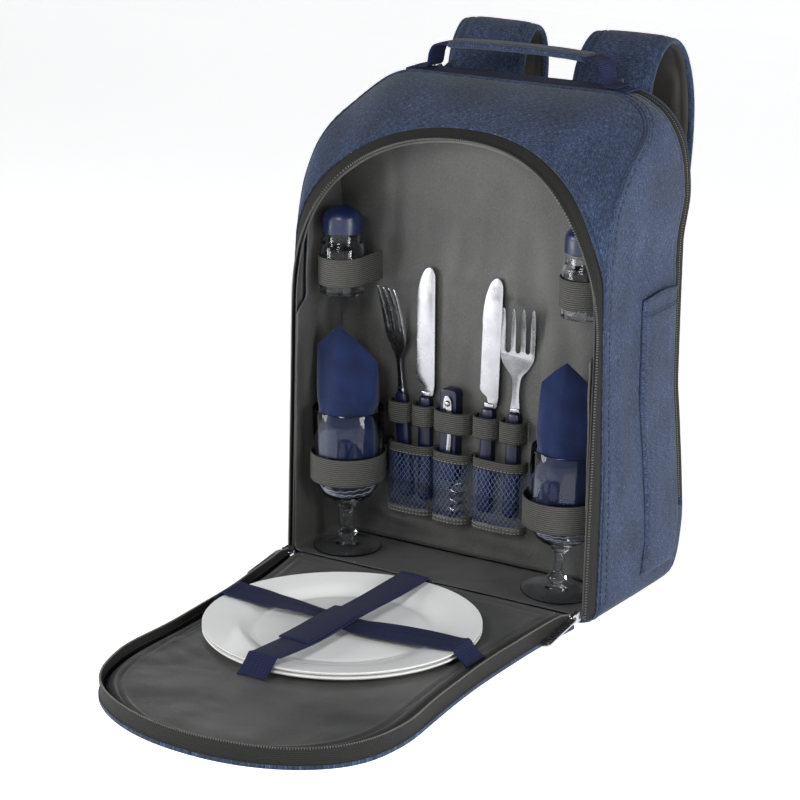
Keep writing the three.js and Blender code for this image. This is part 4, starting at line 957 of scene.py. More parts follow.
def make_gusset():
    half = outline_half(OUTLINE)
    left = [Vector((-p.x, p.y)) for p in half[::-1]]
    line = even(half + left[1:], 300)
    places = ring_places(line)
    places[0] = (places[0][0], Vector((0, -1)))
    places[-1] = places[0]
    total = lengths(line)[-1]

    def place(s, t):
        p, out = places[round(s * 300)]
        start = front_seam(p.y) + SEAM_GAP / 2
        end = rear_seam(p.y) - smoothly((p.y - REAR_ZIP_START + 6) / 6) * (REAR_ZIP_WIDTH + SEAM_GAP)
        y = start + (end - start) * t
        side = 1 - abs(out.y)
        lift = SIDE_PUFF * math.sin(math.pi * t) * side
        edge = min(y - start, end - y)
        lift -= 1.1 * hump(edge, 2.5)
        if out.y > -0.5:
            run = s * total
            lift += 0.9 * soft_noise(run, y, 70, 1) + 0.35 * soft_noise(run, y, 24, 2)
            lift += 0.35 * soft_noise(run, y * 0.2, 7, 3) * math.exp(-edge / 9)
            for share, low, high, width, height in SIDE_FOLDS:
                over = math.sin(math.pi * clamp((p.y - low) / (high - low), 0, 1))
                drift = (t - share - 0.03 * math.sin(p.y / 40)) * (end - start)
                lift += side * height * over * hump(drift, width)
            lift -= 0.6 * hump(edge - 7, 1.2)
        z = max(p.y + out.y * lift, 0)
        return Vector((p.x + out.x * lift, y, z))

    bm = grid(300, 70, place, closed=True, away_from=Vector((0, 0, PACK_HEIGHT / 2)))
    body = piece("Side_wall", bm, "canvas", ["side_gusset"], wall=2.4)

    def seam_line(inset):
        shares = [(0.021 + 0.958 * k / 400) for k in range(401)]
        line = []
        for s in shares:
            p, out = places[round(s * 300)]
            start = front_seam(p.y)
            line.append(Vector((p.x + out.x * 0.3, start + inset, p.y + out.y * 0.3)))
        return line

    line = seam_line(7)
    outs = [Vector((places[round((0.021 + 0.958 * k / 400) * 300)][1].x, 0,
                    places[round((0.021 + 0.958 * k / 400) * 300)][1].y)) for k in range(401)]
    repeated("Side_wall_stitching", small_block(2.6, 0.6, 0.6),
             sewn(line, STITCH_PITCH, lambda s: outs[int(s * 400)]),
             "blue_thread")


def strip_of_front(name, start, end, lift, finish_key, nodes, wall, rows=12):
    """A strip of the front surface between two distances from the opening's edge"""
    def place(s, t):
        low, high = start(s), end(s)
        distance = low + (high - low) * t
        return on_front(s, distance, lift(s, distance, low, high))

    bm = grid(len(FRONT) - 1, rows, place, away_from=Vector((0, 60, 180)))
    return piece(name, bm, finish_key, nodes, wall=wall)


def make_front():
    def tape_lift(s, distance, low, high):
        fold = 0.9 * hump(distance - 1.2, 1.2)
        groove = -0.5 * hump(distance - 3.4, 0.8)
        return fold + groove + 0.2 * soft_noise(s * 900, distance, 18, 4)

    strip_of_front("Opening_tape", lambda s: -0.4, lambda s: tape_end(s) + 1.2, tape_lift, "zip_tape",
                   ["opening_zip_tape"], 1.3)

    def panel_lift(s, distance, low, high):
        width = high - low
        turned_in = 1.1 + 0.5 * hump(distance - low - 1.2, 1.3)
        lift = turned_in - 0.6 * hump(distance - low - 3.2, 0.9)
        lift -= 1.2 * hump(high - distance, 1.8)
        free = smoothly(width / 60)
        lift += free * (1.3 * soft_noise(s * 1000, distance, 75, 6) + 0.4 * soft_noise(s * 1000, distance, 22,
                                                                                       7))
        lift += 0.3 * soft_noise(s * 1000, distance * 0.2, 8, 8) * math.exp(-(distance - low) / 8)
        return lift

    panel = strip_of_front("Front_panel", lambda s: tape_end(s) - 0.4,
                           lambda s: front_width(s) - 2 * (PIPING_RADIUS + SEAM_GAP) + 1.4, panel_lift,
                           "canvas",
                           ["front_panel"], 2.2, rows=34)

    strip_of_front("Front_facing", lambda s: 0.2, front_width, lambda s, distance, low, high: -3.4, "lining",
                   (),
                   0.8)

    def welt(offset, rise, radius):
        line = []
        for k in range(501):
            width = front_width(k / 500)
            line.append(on_front(k / 500, width - PIPING_RADIUS - SEAM_GAP + offset, rise))
        return tube(line, radius, 10, lean=Vector((0, 1, 0.01)))

    piece("Front_seam_welt", joined(welt(-1.5, 0.5, 1.5), welt(1.3, 0.3, 1.5)), "canvas", ["seam_piping"])

    edge = [on_front(k / 600, -0.5, 0.5) for k in range(601)]
    outs = [FRONT[min(int(k / 600 * (len(FRONT) - 1)), len(FRONT) - 1)]["normal"] for k in range(601)]
    repeated("Opening_zip_teeth", small_block(1.0, 1.6, 1.4),
             sewn(edge, TOOTH_PITCH, lambda s: outs[int(s * 600)]),
             "zip_coil")
    seam = [on_front(k / 600, tape_end(k / 600) + 2.8, 1.0) for k in range(601)]
    repeated("Front_panel_stitching", small_block(2.6, 0.6, 0.6),
             sewn(seam, STITCH_PITCH, lambda s: outs[int(s * 600)]),
             "blue_thread")


def make_rear():
    half = [p for p in outline_half(OUTLINE) if p.y > REAR_ZIP_START]
    left = [Vector((-p.x, p.y)) for p in half]
    line = even(left + half[-2::-1], 260)
    places = [(p, -out) for p, out in ring_places(line)]
    if places[0][1].x > 0:
        places = [(p, -out) for p, out in places]

    def zip_place(s, t):
        p, out = places[round(s * 260)]
        y = rear_seam(p.y) - REAR_ZIP_WIDTH * (1 - t)
        lift = -0.5 - 0.8 * hump(t - 0.5, 0.1) + 0.5 * hump(t - 0.3, 0.1)
        lift += 0.5 * hump(t - 0.7, 0.1)
        return Vector((p.x + out.x * lift, y, p.y + out.y * lift))

    bm = grid(260, 16, zip_place, away_from=Vector((0, 60, PACK_HEIGHT / 2)))
    piece("Rear_zip", bm, "zip_tape", ["rear_zip_tape"], wall=1.4)
    coil = [zip_place(k / 260, 0.5) for k in range(261)]
    repeated("Rear_zip_teeth", small_block(1.2, 2.4, 1.6),
             sewn(coil, TOOTH_PITCH, lambda s: Vector((places[int(s * 260)][1].x, 0,
                                                       places[int(s * 260)][1].y))),
             "zip_coil")

    side = even([p for p in outline_half(OUTLINE) if p.x > OUTLINE["at_top"] - OUTLINE["top_radius"]
                 or p.y < OUTLINE["base_radius"]][1:], 120)

    def back_place(s, t):
        p = side[round(t * 120)]
        wide = p.x - SEAM_GAP
        u = 2 * s - 1
        x = wide * u
        start = rear_seam(p.y) + SEAM_GAP
        edge = wide * (1 - abs(u))
        rise = BACK_PANEL["thickness"] * (1 - (1 - clamp(edge / BACK_PANEL["edge"], 0, 1)) ** 2.4) ** 0.6
        ends = math.sin(math.pi * clamp(p.y / PACK_HEIGHT, 0, 1))
        crown = BACK_PANEL["crown"] * ends * (1 - u ** 4)
        seam = 1.3 * hump(edge - 16, 1.6)
        channel = 1.6 * hump(abs(x) - 52, 2.2) * smoothly((edge - 20) / 20)
        soft = 0.7 * soft_noise(x, p.y, 60, 12) * clamp(edge / 20, 0, 1)
        return Vector((x, start + rise + crown - seam - channel + soft, clamp(p.y, 0.4, PACK_HEIGHT - 0.4)))

    bm = grid(110, 120, back_place, away_from=Vector((0, 0, 200)))
    panel = piece("Back_panel", bm, "canvas", ["back_panel"], wall=6)


def make_pockets():
    for side, sign in (("left", -1), ("right", 1)):
        top, foot = SIDE_POCKET["height"], SIDE_POCKET["foot"]

        def place(s, t):
            z = top * (foot + (1 - foot) * t) + (3.2 * math.sin(math.pi * s) if t == 1 else 0)
            end = rear_seam(z) - REAR_ZIP_WIDTH - 1
            y = end - SIDE_POCKET["depth"] * (1 - s)
            low, high = front_seam(z), rear_seam(z) - REAR_ZIP_WIDTH
            puff = SIDE_PUFF * math.sin(math.pi * clamp((y - low) / (high - low), 0, 1))
            edge = min(s, 1 - s) * SIDE_POCKET["depth"]
            below = (top - z)
            lift = 0.9 + 1.5 * smoothly(edge / 5) + 0.8 * smoothly(edge / 20)
            lift += 0.8 * hump(below, 3) - 0.6 * hump(below - 13, 1.3)
            lift += (0.9 * soft_noise(y, z, 55, 21) + 0.3 * soft_noise(y * 3, z, 22, 22)) * smoothly(edge / 8)
            return Vector((sign * (half_width(OUTLINE, z) + puff + max(lift, 0.5)), y, z))

        bm = grid(40, 110, place, away_from=Vector((0, 40, 130)))
        pocket = piece(f"Side_pocket_{side.title()}", bm, "canvas", [f"side_pocket_{side}"], wall=1.2)
        declare_sheet(pocket, (SIDE_POCKET["depth"], top * (1 - foot)))
        for drop in (11.5, 14.5):
            hem = [place(k / 60, 1 - drop / (top * (1 - foot))) + Vector((sign * 0.3, 0, 0)) for k in range(2,
                    59)]
            repeated(f"Side_pocket_{side.title()}_hem_{int(drop)}", small_block(2.4, 0.5, 0.5),
                     sewn(hem, 4.0, lambda s: Vector((sign, 0, 0))), "blue_thread")


# Front compartment

def make_compartment():
    line = even(outline_half(DIVIDER)[13:], 130)

    def divider_place(s, t):
        p = line[round(t * 130)]
        x = p.x * (2 * s - 1)
        z = p.y
        near_items = hump(x + 20, 75) * smoothly((z - 50) / 15) * smoothly((270 - z) / 40)
        quiet = 1 - 0.75 * near_items
        out = folds(DIVIDER_FOLDS, x, z) * quiet
        out += (1.2 * soft_noise(x, z * 0.6, 60, 31) + 0.5 * soft_noise(x, z * 0.7, 22, 32)) * quiet
        edge = min(p.x * (1 - abs(2 * s - 1)), z - 4)
        out *= smoothly(edge / 12)
        out = clamp(out, -2.2, 2.4 if near_items < 0.3 else 0.55)
        return Vector((x, divider_face(z) - out, z))

    bm = grid(150, 130, divider_place, away_from=Vector((0, 300, 200)))
    wall = piece("Inner_wall", bm, "lining", ["compartment_divider"], wall=1.6)
    declare_sheet(wall, INNER_WALL_CUT)

    outline = {**OUTLINE, "top": PACK_HEIGHT - FLOOR_UP, "base": FLOOR_UP,
               "at_base": OUTLINE["at_base"] - FLOOR_UP,
               "at_top": OUTLINE["at_top"] - FLOOR_UP, "top_radius": OUTLINE["top_radius"] - FLOOR_UP,
               "base_radius": 5}
    half = [p for p in outline_half(outline) if p.y < 376]
    left = [Vector((-p.x, p.y)) for p in half[::-1]]
    run = even(left + half[1:], 260)
    places = ring_places(run)
    total = lengths(run)[-1]

    def lining_place(s, t):
        p, out = places[round(s * 260)]
        clear = front_seam(p.y) + 0.6
        start = HINGE_Y + 0.02 * PACK_DEPTH + SEAM_GAP
        start += (max(clear, start) - start) * smoothly((p.y - OPENING_STRAIGHT + 8) / 16)
        end = divider_face(p.y) - SEAM_GAP
        end = max(end, start + 0.5)
        y = start + (end - start) * t
        depth = y - start
        lift = 0
        if out.x < -0.7:
            for inward, low, high, width, height in LEFT_WALL_FOLDS:
                over = math.sin(math.pi * clamp((p.y - low) / (high - low), 0, 1))
                lift += height * over * hump(depth - inward - 3 * math.sin(p.y / 45), width)
        if abs(out.x) > 0.7 or out.y < -0.7:
            lift += 0.6 * soft_noise(s * total, depth, 26, 41) + 0.3 * soft_noise(s * total, depth, 11, 42)
        lift = clamp(lift, -0.6, 1.6) if out.y > -0.7 else clamp(lift, 0, 0.6)
        return Vector((p.x + out.x * lift, y, p.y + out.y * lift))

    bm = grid(260, 30, lining_place, away_from=Vector((0, -40, 1500)))
    lining = piece("Compartment_lining", bm, "lining", ["compartment_lining"], wall=1.0)
    bm = bmesh.new()
    bm.from_mesh(lining.data)
    inward = sum(f.normal.dot(f.calc_center_median() - Vector((0, -0.04, 0.15))) * f.calc_area()
                 for f in bm.faces)
    if inward > 0:
        bmesh.ops.reverse_faces(bm, faces=bm.faces)
        bm.to_mesh(lining.data)
    bm.free()
    declare_sheet(lining, (total, COMPARTMENT_DEPTH))


def make_cutlery_pocket():
    loops_line = pouch_line(CELL_EDGES, ELASTIC["thickness"])
    bm, total = standing(loops_line, LOOPS["bottom"], LOOPS["height"], rows=8,
                         lean=lambda s, t: BACK * (0.5 * math.sin(math.pi * t)) * -1)
    loops = piece("Cutlery_loops", bm, "elastic", ["cutlery_loops"], wall=1.1, wall_side=0)
    declare_sheet(loops, (total, LOOPS["height"]))

    line = pouch_line(BAYS, 1.0)
    bm, total = standing(line, BINDING["bottom"], BINDING["height"], rows=5)
    binding = piece("Pocket_binding", bm, "elastic", ["pocket_binding"], wall=1.3, wall_side=0)
    declare_sheet(binding, (total, BINDING["height"]))

    spaced = even(line, 400)
    length = lengths(spaced)[-1]
    columns = round(length / NET["diamond_wide"])
    rows = round((NET["top"] - NET["bottom"]) / NET["diamond_high"])
    bm = bmesh.new()
    bmesh.ops.create_grid(bm, x_segments=columns, y_segments=rows, size=0.5)
    old = [e for e in bm.edges if not e.is_boundary]
    bmesh.ops.poke(bm, faces=bm.faces)
    bmesh.ops.dissolve_edges(bm, edges=old, use_verts=False)
    layer = bm.loops.layers.uv.new("UVMap")
    shares = {vert: (clamp(vert.co.x + 0.5, 0, 1), clamp(vert.co.y + 0.5, 0, 1)) for vert in bm.verts}
    for face in bm.faces:
        for loop in face.loops:
            s, t = shares[loop.vert]
            loop[layer].uv = (s * length * MM, t * 0.05)
    for vert, (s, t) in shares.items():
        vert.co = at_share(spaced, s) + UP * (NET["bottom"] + (NET["top"] - NET["bottom"] + 1) * t)
        vert.co.y -= 1.2 * math.sin(math.pi * t)
    bmesh.ops.wireframe(bm, faces=bm.faces, thickness=NET["strand"], offset=0, use_replace=True,
                        use_even_offset=False, use_boundary=True)
    piece("Net", bm, "net", ["net_pocket"])

    def hem_place(s, t):
        p = at_share(spaced, s)
        return Vector((p.x, p.y, NET["bottom"] - 5 + 7 * t))

    bm = grid(220, 4, hem_place)
    piece("Net_hem", bm, "lining", wall=1.0, wall_side=0)
    for height in (NET["bottom"] - 3.2, NET["bottom"] - 0.2):
        sewn_line = [p + UP * height + BACK * -0.9 for p in spaced]
        repeated(f"Net_stitching_{int(height)}", small_block(2.2, 0.7, 0.6),
                 sewn(sewn_line, 3.4, lambda s: -BACK),
                 "thread")
    sewn_line = [p + UP * (BINDING["bottom"] + 1.3) + BACK * -0.9 for p in spaced]
    repeated("Binding_stitching", small_block(2.2, 0.6, 0.6), sewn(sewn_line, 3.4, lambda s: -BACK), "thread")
    tacks = []
    for x in CELL_EDGES:
        for k in range(9):
            z = LOOPS["bottom"] + 1.2 + k * (LOOPS["height"] - 2.4) / 8
            tacks.append(aimed(Vector((x, POCKET_WALL - 1.6, z)), ACROSS, -BACK))
    repeated("Loop_tacks", small_block(2.2, 0.7, 0.7), tacks, "thread")


def band(name, x, y, radius, z, height, nodes, end=360):
    """Ribbed elastic that runs round something from the inner wall and back to it"""
    wall = divider_face(z + height) - SEAM_GAP
    reach = radius + ELASTIC["thickness"] / 2 + SEAM_GAP
    arc = [
        Vector((x + reach * math.cos(a), y + reach * math.sin(a), 0))
        for a in [math.radians(180 + (end - 180) * k / 48) for k in range(49)]
    ]
    line = [Vector((x - reach, wall, 0))] + arc + [Vector((arc[-1].x, wall, 0))]
    bm, total = standing(line, z, height, rows=8, lean=lambda s, t: Vector((0, 0, 0.4 * math.sin(9 * s))))
    strap = piece(name, bm, "elastic", nodes, wall=1.1, wall_side=0)
    declare_sheet(strap, (total, height))
    return strap


def make_glasses():
    rim, height, wall = GLASS["rim"], GLASS["height"], GLASS["wall"]
    outside = [(out * rim, up * height) for up, out in GLASS_OUTSIDE]
    inside = [(0, BOWL_FLOOR * height + wall)]
    inside += [(r - wall, min(z + wall * 0.6, height - 0.6)) for r,
               z in outside if z > (BOWL_FLOOR + 0.02) * height]
    hollow = [(0, 3.4), (0.35 * rim, 2.2), (0.84 * rim, 0.9), (0.9 * rim, 0)]
    profile = hollow + outside[:-1] + [(rim, height - 0.9), (rim - 0.5, height), (rim - wall + 0.5, height)]
    profile += inside[::-1]
    band_z = FLOOR_UP + GLASS_BAND_UP
    for row in GLASSES:
        side = row["side"]
        x = beside_wall(row, rim, band_z, band_z + ELASTIC["height"])
        y = HINGE_Y + GLASS["back"]
        lean = math.radians(row["lean"])
        tip = rim * math.sin(abs(lean))
        stand = Matrix.Translation(Vector((x, y, FLOOR_UP + SEAM_GAP + tip))) @ Matrix.Rotation(lean, 4, "Y")
        piece(f"Wine_glass_{side.title()}", placed(turned(profile, 64), stand), "clear_acrylic",
              [f"wine_glass_{side}"], sharp=50)
        make_napkin(side, stand @ Matrix.Rotation(math.radians(row["turn"]), 4, "Z"), inside)
        drift = math.tan(lean) * (GLASS_BAND_UP + ELASTIC["height"] / 2)
        slack = math.tan(abs(lean)) * ELASTIC["height"]
        band(f"Glass_band_{side.title()}", x + drift, y, rim + slack, band_z, ELASTIC["height"],
             [f"glass_band_{side}"], row["end"])


def make_napkin(side, stand, inside):
    """A folded napkin as two shells, its corner up and its body gathered into the glass"""
    height = GLASS["height"]
    floor = BOWL_FLOOR * height + GLASS["wall"] + 1
    bowl = sorted((z, r) for r, z in inside)
    peak_at = -NAPKIN["left_of_middle"] * NAPKIN["width"]

    def shell(inset, drop, seed):
        def place(s, t):
            angle = 2 * math.pi * s
            into = clamp(t / 0.42, 0, 1)
            over = clamp((t - 0.42) / 0.58, 0, 1)
            up = floor + 1 + (height - floor) * into
            radius = look_up(bowl, up - 1) - 1.4 - inset
            half_wide = min(radius, NAPKIN["width"] / 2 - inset) * (0.35 + 0.65 * smoothly(into * 3))
            half_deep = radius + (NAPKIN["depth"] / 2 - radius) * smoothly(over * 5 + max(into - 0.8, 0))
            half_deep = half_deep * (0.35 + 0.65 * smoothly(into * 3)) * (1 - 0.94 * over ** 1.5) - inset
            half_deep = max(half_deep, 0.35)
            pleats = 1 - (0.05 + 0.03 * math.sin(5 * angle + seed)
                          + 0.02 * math.sin(9 * angle + 2 * seed)) * (1 - 0.6 * over)
            pleats -= 0.06 * hump(up - height, 9) * hump(over, 0.12)
            x = half_wide * math.cos(angle)
            if over:
                x *= 1 + 0.02 * math.sin(3 * over + seed)
            slope = (NAPKIN["peak"] - NAPKIN["shoulder"]) * max(0,
                    1 - abs(x - peak_at) / (NAPKIN["width"] * 0.62))
            roof = height + NAPKIN["shoulder"] - 4 * (abs(x) / (NAPKIN["width"] / 2)) ** 4 + slope - drop
            z = up if not over else height + (roof - height) * over
            y = half_deep * math.sin(angle) * pleats
            y += 2.0 * over * (1 - over) * soft_noise(x, z, 22, seed)
            x += 0.8 * soft_noise(y, z, 26, seed + 1) * (0.3 + over)
            return Vector((x * pleats, y, z))

        return grid(96, 70, place, closed=True, away_from=Vector((0, 0, 140)))

    bm = joined(shell(0, 0, 1.3), shell(1.6, 3.5, 2.1))
    bm = placed(bm, stand)
    cloth = piece(f"Napkin_{side.title()}", bm, "napkin", [f"napkin_{side}"], wall=0.6, wall_side=-1)
    hems = []
    for k, up in enumerate((5, 8.5, 12)):
        line = []
        for i in range(121):
            angle = 2 * math.pi * i / 120
            z = floor + up + 1.6 * math.sin(2 * angle + k) + 0.5 * math.sin(19 * angle)
            radius = look_up(bowl, z) - 1.0
            line.append(Vector((radius * math.cos(angle), radius * math.sin(angle), z)))
        hems.append(tube(line, 0.4, 6))
    piece(f"Napkin_hem_{side.title()}", placed(joined(*hems), stand), "hem")


def make_shakers():
    radius, height, wall = SHAKER["radius"], SHAKER["height"], SHAKER["wall"]
    shoulder = height - 8
    cap_radius, cap_height = SHAKER["cap_radius"], SHAKER["cap_height"]
    neck = cap_radius - 1.5
    jar = [
        (0, 1.2), (radius - 5, 1.2), (radius - 4, 0), (radius - 1.6, 0), (radius - 0.4, 0.6), (radius, 2),
        (radius, shoulder - 5), (radius - 0.5, shoulder - 3), (radius - 1.6, shoulder - 1.2),
        (neck + 0.6, shoulder),
        (neck, shoulder + 1), (neck, height), (neck - wall, height), (neck - wall, shoulder - 1),
        (radius - wall - 1, shoulder - 4), (radius - wall, shoulder - 7), (radius - wall, wall + 2),
        (0, wall + 1.2),
    ]
    cap = [
        (0, height + 0.4), (cap_radius - 0.8, height + 0.4), (cap_radius, height + 1.0),
        (cap_radius, height + 12),
        (cap_radius - 0.3, height + 12.8),
    ]
    cap += [
        (cap_radius * 0.985 * math.cos(a), height + 13 + (cap_height - 13) * math.sin(a))
        for a in arc_steps(90, 12)
    ]
    cap[-1] = (0, height + cap_height)
    for row in SHAKERS:
        side = row["side"]
        x = beside_wall(row, radius, row["up"], row["up"] + height)
        y = HINGE_Y + SHAKER["back"]
        stand = Matrix.Translation(Vector((x, y, row["up"])))
        piece(f"Shaker_jar_{side.title()}", placed(turned(jar, 40), stand), "clear_acrylic",
              [f"shaker_jar_{side}"], sharp=40)
        piece(f"Shaker_cap_{side.title()}", placed(turned(cap, 48), stand), "cap_plastic",
              [f"shaker_cap_{side}"], sharp=50)
        band_z = row["up"] + (shoulder - ELASTIC["height"]) / 2 - 1
        band(f"Shaker_band_{side.title()}", x, y, radius, band_z, ELASTIC["height"], [f"shaker_band_{side}"])


# Cutlery and corkscrew

def fork_outline():
    width, head, tines, neck = FORK["width"], FORK["head"], FORK["tines"], FORK["neck"]
    root, tip = neck + head - tines, neck + head
    thin = FORK["neck_width"] / 2
    side = flowing((
        (thin + 1.4, 0), (thin + 0.3, neck * 0.3), (thin - 0.2, neck * 0.6), (thin + 1.2, neck * 0.95),
        (width * 0.3, neck + (root - neck) * 0.22), (width * 0.43, neck + (root - neck) * 0.55),
        (width * 0.49, neck + (root - neck) * 0.9), (width * 0.5, root + tines * 0.3),
    ), 4)
    right = [(p.x, p.y) for p in side]
    tine = width / 7
    crown = []
    for i in range(3, -1, -1):
        x = (i - 1.5) * 2 * tine
        crown += [(x + tine / 2, root + tines * 0.6), (x + tine * 0.3, tip - 3), (x + tine * 0.12, tip - 0.4)]
        crown += [(x - tine * 0.12, tip - 0.4), (x - tine * 0.3, tip - 3), (x - tine / 2, root + tines * 0.6)]
        if i:
            crown += [(x - tine / 2, root + 2.2)]
            crown += [
                (x - tine + tine / 2 * math.cos(a), root + 2.2 - tine / 2 * math.sin(a))
                for a in [math.radians(180 * k / 6) for k in range(1, 6)]
            ]
            crown += [(x - tine * 1.5, root + 2.2)]
    return right + crown + [(-x, z) for x, z in right[::-1]]


def knife_outline():
    """A table knife: its edge on the left with fine teeth, its tip rounded up to the right"""
    width, length, tang = KNIFE["width"], KNIFE["length"], KNIFE["tang"]
    back = [(-0.02 * width, 0), (0.3 * width, 0), (0.42 * width, 1.5), (0.5 * width, tang),
            (0.5 * width, 0.9 * length)]
    tip = flowing((
        (0.5 * width, 0.9 * length), (0.48 * width, 0.95 * length), (0.38 * width, 0.985 * length),
        (0.22 * width, length), (0.02 * width, 0.988 * length), (-0.2 * width, 0.94 * length),
        (-0.38 * width, 0.85 * length), (-0.48 * width, 0.74 * length), (-0.5 * width, 0.66 * length),
    ), 5)
    edge = []
    z = 0.64 * length
    while z > 2.2 * tang:
        edge += [(-0.5 * width, z), (-0.5 * width + 0.7, z - 0.9)]
        z -= 1.8
    heel = [(-0.5 * width, 1.8 * tang), (-0.46 * width, 1.45 * tang), (-0.3 * width, 1.15 * tang),
            (-0.12 * width, 0.95 * tang), (-0.06 * width, 0.6 * tang)]
    return back[:-1] + [(p.x, p.y) for p in tip] + edge + heel


def cutlery_stand(row):
    loop_middle = LOOPS["bottom"] + LOOPS["height"] / 2
    lean = math.radians(row["lean"])
    drift = math.tan(lean) * (loop_middle - CUTLERY["foot"])
    at = Vector((cell_middle(row["cell"]) + drift, POCKET_WALL - CUTLERY["thickness"] / 2, CUTLERY["foot"]))
    return Matrix.Translation(at) @ Matrix.Rotation(-lean, 4, "Y")


def make_cutlery():
    length = CUTLERY["length"]
    sections = [(0, 0.5, 0.4), (0.8, 0.74, 0.66), (2.4, 0.9, 0.88), (5, 0.98, 0.98), (12, 1.0, 1.0),
                (40, 0.98, 1.0),
                (80, 0.93, 1.0), (90, 0.9, 0.96), (93.5, 0.86, 0.9), (95.2, 0.78, 0.8), (96, 0.6, 0.6)]

    def handle_place(s, t):
        z = length * t
        wide = look_up([(a, b) for a, b, c in sections], z) * CUTLERY["width"] / 2
        deep = look_up([(a, c) for a, b, c in sections], z) * CUTLERY["thickness"] / 2
        angle = 2 * math.pi * s
        across, out = math.cos(angle), math.sin(angle)
        square = 2 / 3.2
        return Vector((wide * math.copysign(abs(across) ** square, across),
                       deep * math.copysign(abs(out) ** square, out), z))

    for row in CUTLERY_LEAN:
        stand = cutlery_stand(row)
        side, kind = row["side"], row["kind"]
        rows = 60
        bm = grid(32, rows, handle_place, closed=True)
        closed_ends(bm, 40)
        piece(f"{kind.title()}_handle_{side.title()}", placed(bm, stand), "handle_plastic",
              [f"{kind}_handle_{side}"], sharp=60)
        head = stand @ Matrix.Translation(Vector((0, 0, length + 0.4))) @ Matrix.Rotation(
            math.radians(row["turn"]), 4, "Z")
        if kind == "knife":
            bm = slab(knife_outline(), KNIFE["thickness"], 0.35, 2)
            bolster = block((-4.4, -1.7, -0.2), (5.6, 1.7, 4.6), 1.2, 3)
            piece(f"Knife_blade_{side.title()}", placed(joined(bm, bolster), head), "steel",
                  [f"knife_blade_{side}"], sharp=35)
        else:
            bm = slab(fork_outline(), FORK["thickness"], 0.5, 2)
            reach = FORK["neck"] + FORK["head"]
            for k in range(1, 16):
                level = Vector((0, 0, reach * k / 16))
                bmesh.ops.bisect_plane(bm, geom=bm.verts[:] + bm.edges[:] + bm.faces[:], plane_co=level,
                                       plane_no=UP,
                                       dist=0.001)
            for vert in bm.verts:
                share = clamp(vert.co.z / reach, 0, 1)
                bowl = 2.2 * math.sin(math.pi * clamp((vert.co.z - FORK["neck"]) / FORK["head"], 0, 1))
                vert.co.y += bowl * (1 - (vert.co.x / FORK["width"] * 2) ** 2) - FORK["curve"] * share ** 2
                if vert.co.z < FORK["neck"]:
                    vert.co.y *= 1 + 0.5 * (1 - vert.co.z / FORK["neck"]) if vert.co.y < 0 else 1
            bolster = block((-4.4, -2.2, -0.2), (4.4, 2.2, 4.2), 1.3, 3)
            piece(f"Fork_{side.title()}", placed(joined(bm, bolster), head), "steel", [f"fork_{side}"],
                  sharp=35)


def make_corkscrew():
    width, thickness, length, foot = 17, 11, 84, 78
    x = cell_middle(2) - 4
    y = POCKET_WALL - 5.6
    outline = [(0.36 * width, 0), (0.47 * width, 1.2), (0.5 * width, 3)]
    outline += [
        (0.5 * width - 4.5 * (1 - math.cos(a)), length - 4.5 * (1 - math.sin(a)))
        for a in arc_steps(90, 8)
    ]
    outline += [(-px, pz) for px, pz in outline[::-1]]
    body = placed(slab(outline, thickness, 1.6, 4), Matrix.Translation(Vector((x, y, foot))))
    piece("Corkscrew_body", body, "handle_plastic", ["corkscrew_body"], sharp=50)

    front = y - thickness / 2
    lever_line = flowing((
        (0.2, 61, 0), (3.2, 57, 0), (4.2, 50, 0), (4.0, 40, 0), (4.2, 26, 0), (3.4, 12, 0), (1.5, 3, 0),
        (-2.5, 0, 0),
    ), 6)
    outer = [(p.x, p.y) for p in lever_line]
    inner_line = flowing((
        (-4.0, 2.5, 0), (-1.5, 6, 0), (-0.6, 14, 0), (0.2, 28, 0), (-0.4, 42, 0), (-1.0, 46, 0),
        (-4.3, 49, 0),
        (-4.4, 55, 0), (-3.0, 60, 0),
    ), 6)
    outline = outer + [(p.x, p.y) for p in inner_line]
    bm = slab(outline, 1.8, 0.4, 2)
    rivet = turned([(0, 2.1), (1.4, 2.0), (2.3, 1.5), (2.7, 0.8), (2.8, 0), (0, 0)], 24)
    rivet = placed(rivet, Matrix.Translation(Vector((0.2, -0.8, 54))) @ Matrix.Rotation(math.radians(90), 4,
                                                                                        "X"))
    seat = Matrix.Translation(Vector((x + 1, front - 1.3, foot + length - 66)))
    piece("Corkscrew_lever", placed(joined(bm, rivet), seat), "steel", ["corkscrew_lever"], sharp=40)

    turns, long, steps = 4.5, 39, 150
    line = []
    for k in range(steps + 1):
        t = k / steps
        angle = 2 * math.pi * turns * t
        r = 4.2 * min(1, (1 - t) * 6 + 0.1)
        line.append(Vector((x + 6 + r * math.cos(angle), y + r * math.sin(angle), foot - 1.8 - long * t)))

    def place(s, t):
        run = tangent(line, t)
        side = UP.cross(run).normalized()
        up = run.cross(side)
        angle = 2 * math.pi * s
        thick = 1.35 * min(1, (1 - t) * 9 + 0.12)
        return at_share(line, t) + thick * (math.cos(angle) * side + math.sin(angle) * up)

    bm = grid(10, steps, place, closed=True)
    closed_ends(bm, 12)
    piece("Corkscrew_worm", bm, "steel", ["corkscrew_worm"])


# Door

def roll_edge(distance, radius):
    """Height from 0 to 1 of a rounded edge at a distance in from it"""
    return math.sqrt(max(1 - (1 - clamp(distance / radius, 0, 1)) ** 2, 0))


def door_distances(u, along):
    """Distances from the door's sides, its far end and its hinge"""
    share = clamp(along, 0, 1)
    run = share * OPENING_LENGTH
    half = opening_half(run) * look_up(DOOR_PULL, share)
    return (1 - abs(u)) * half, share * DOOR_LENGTH, half


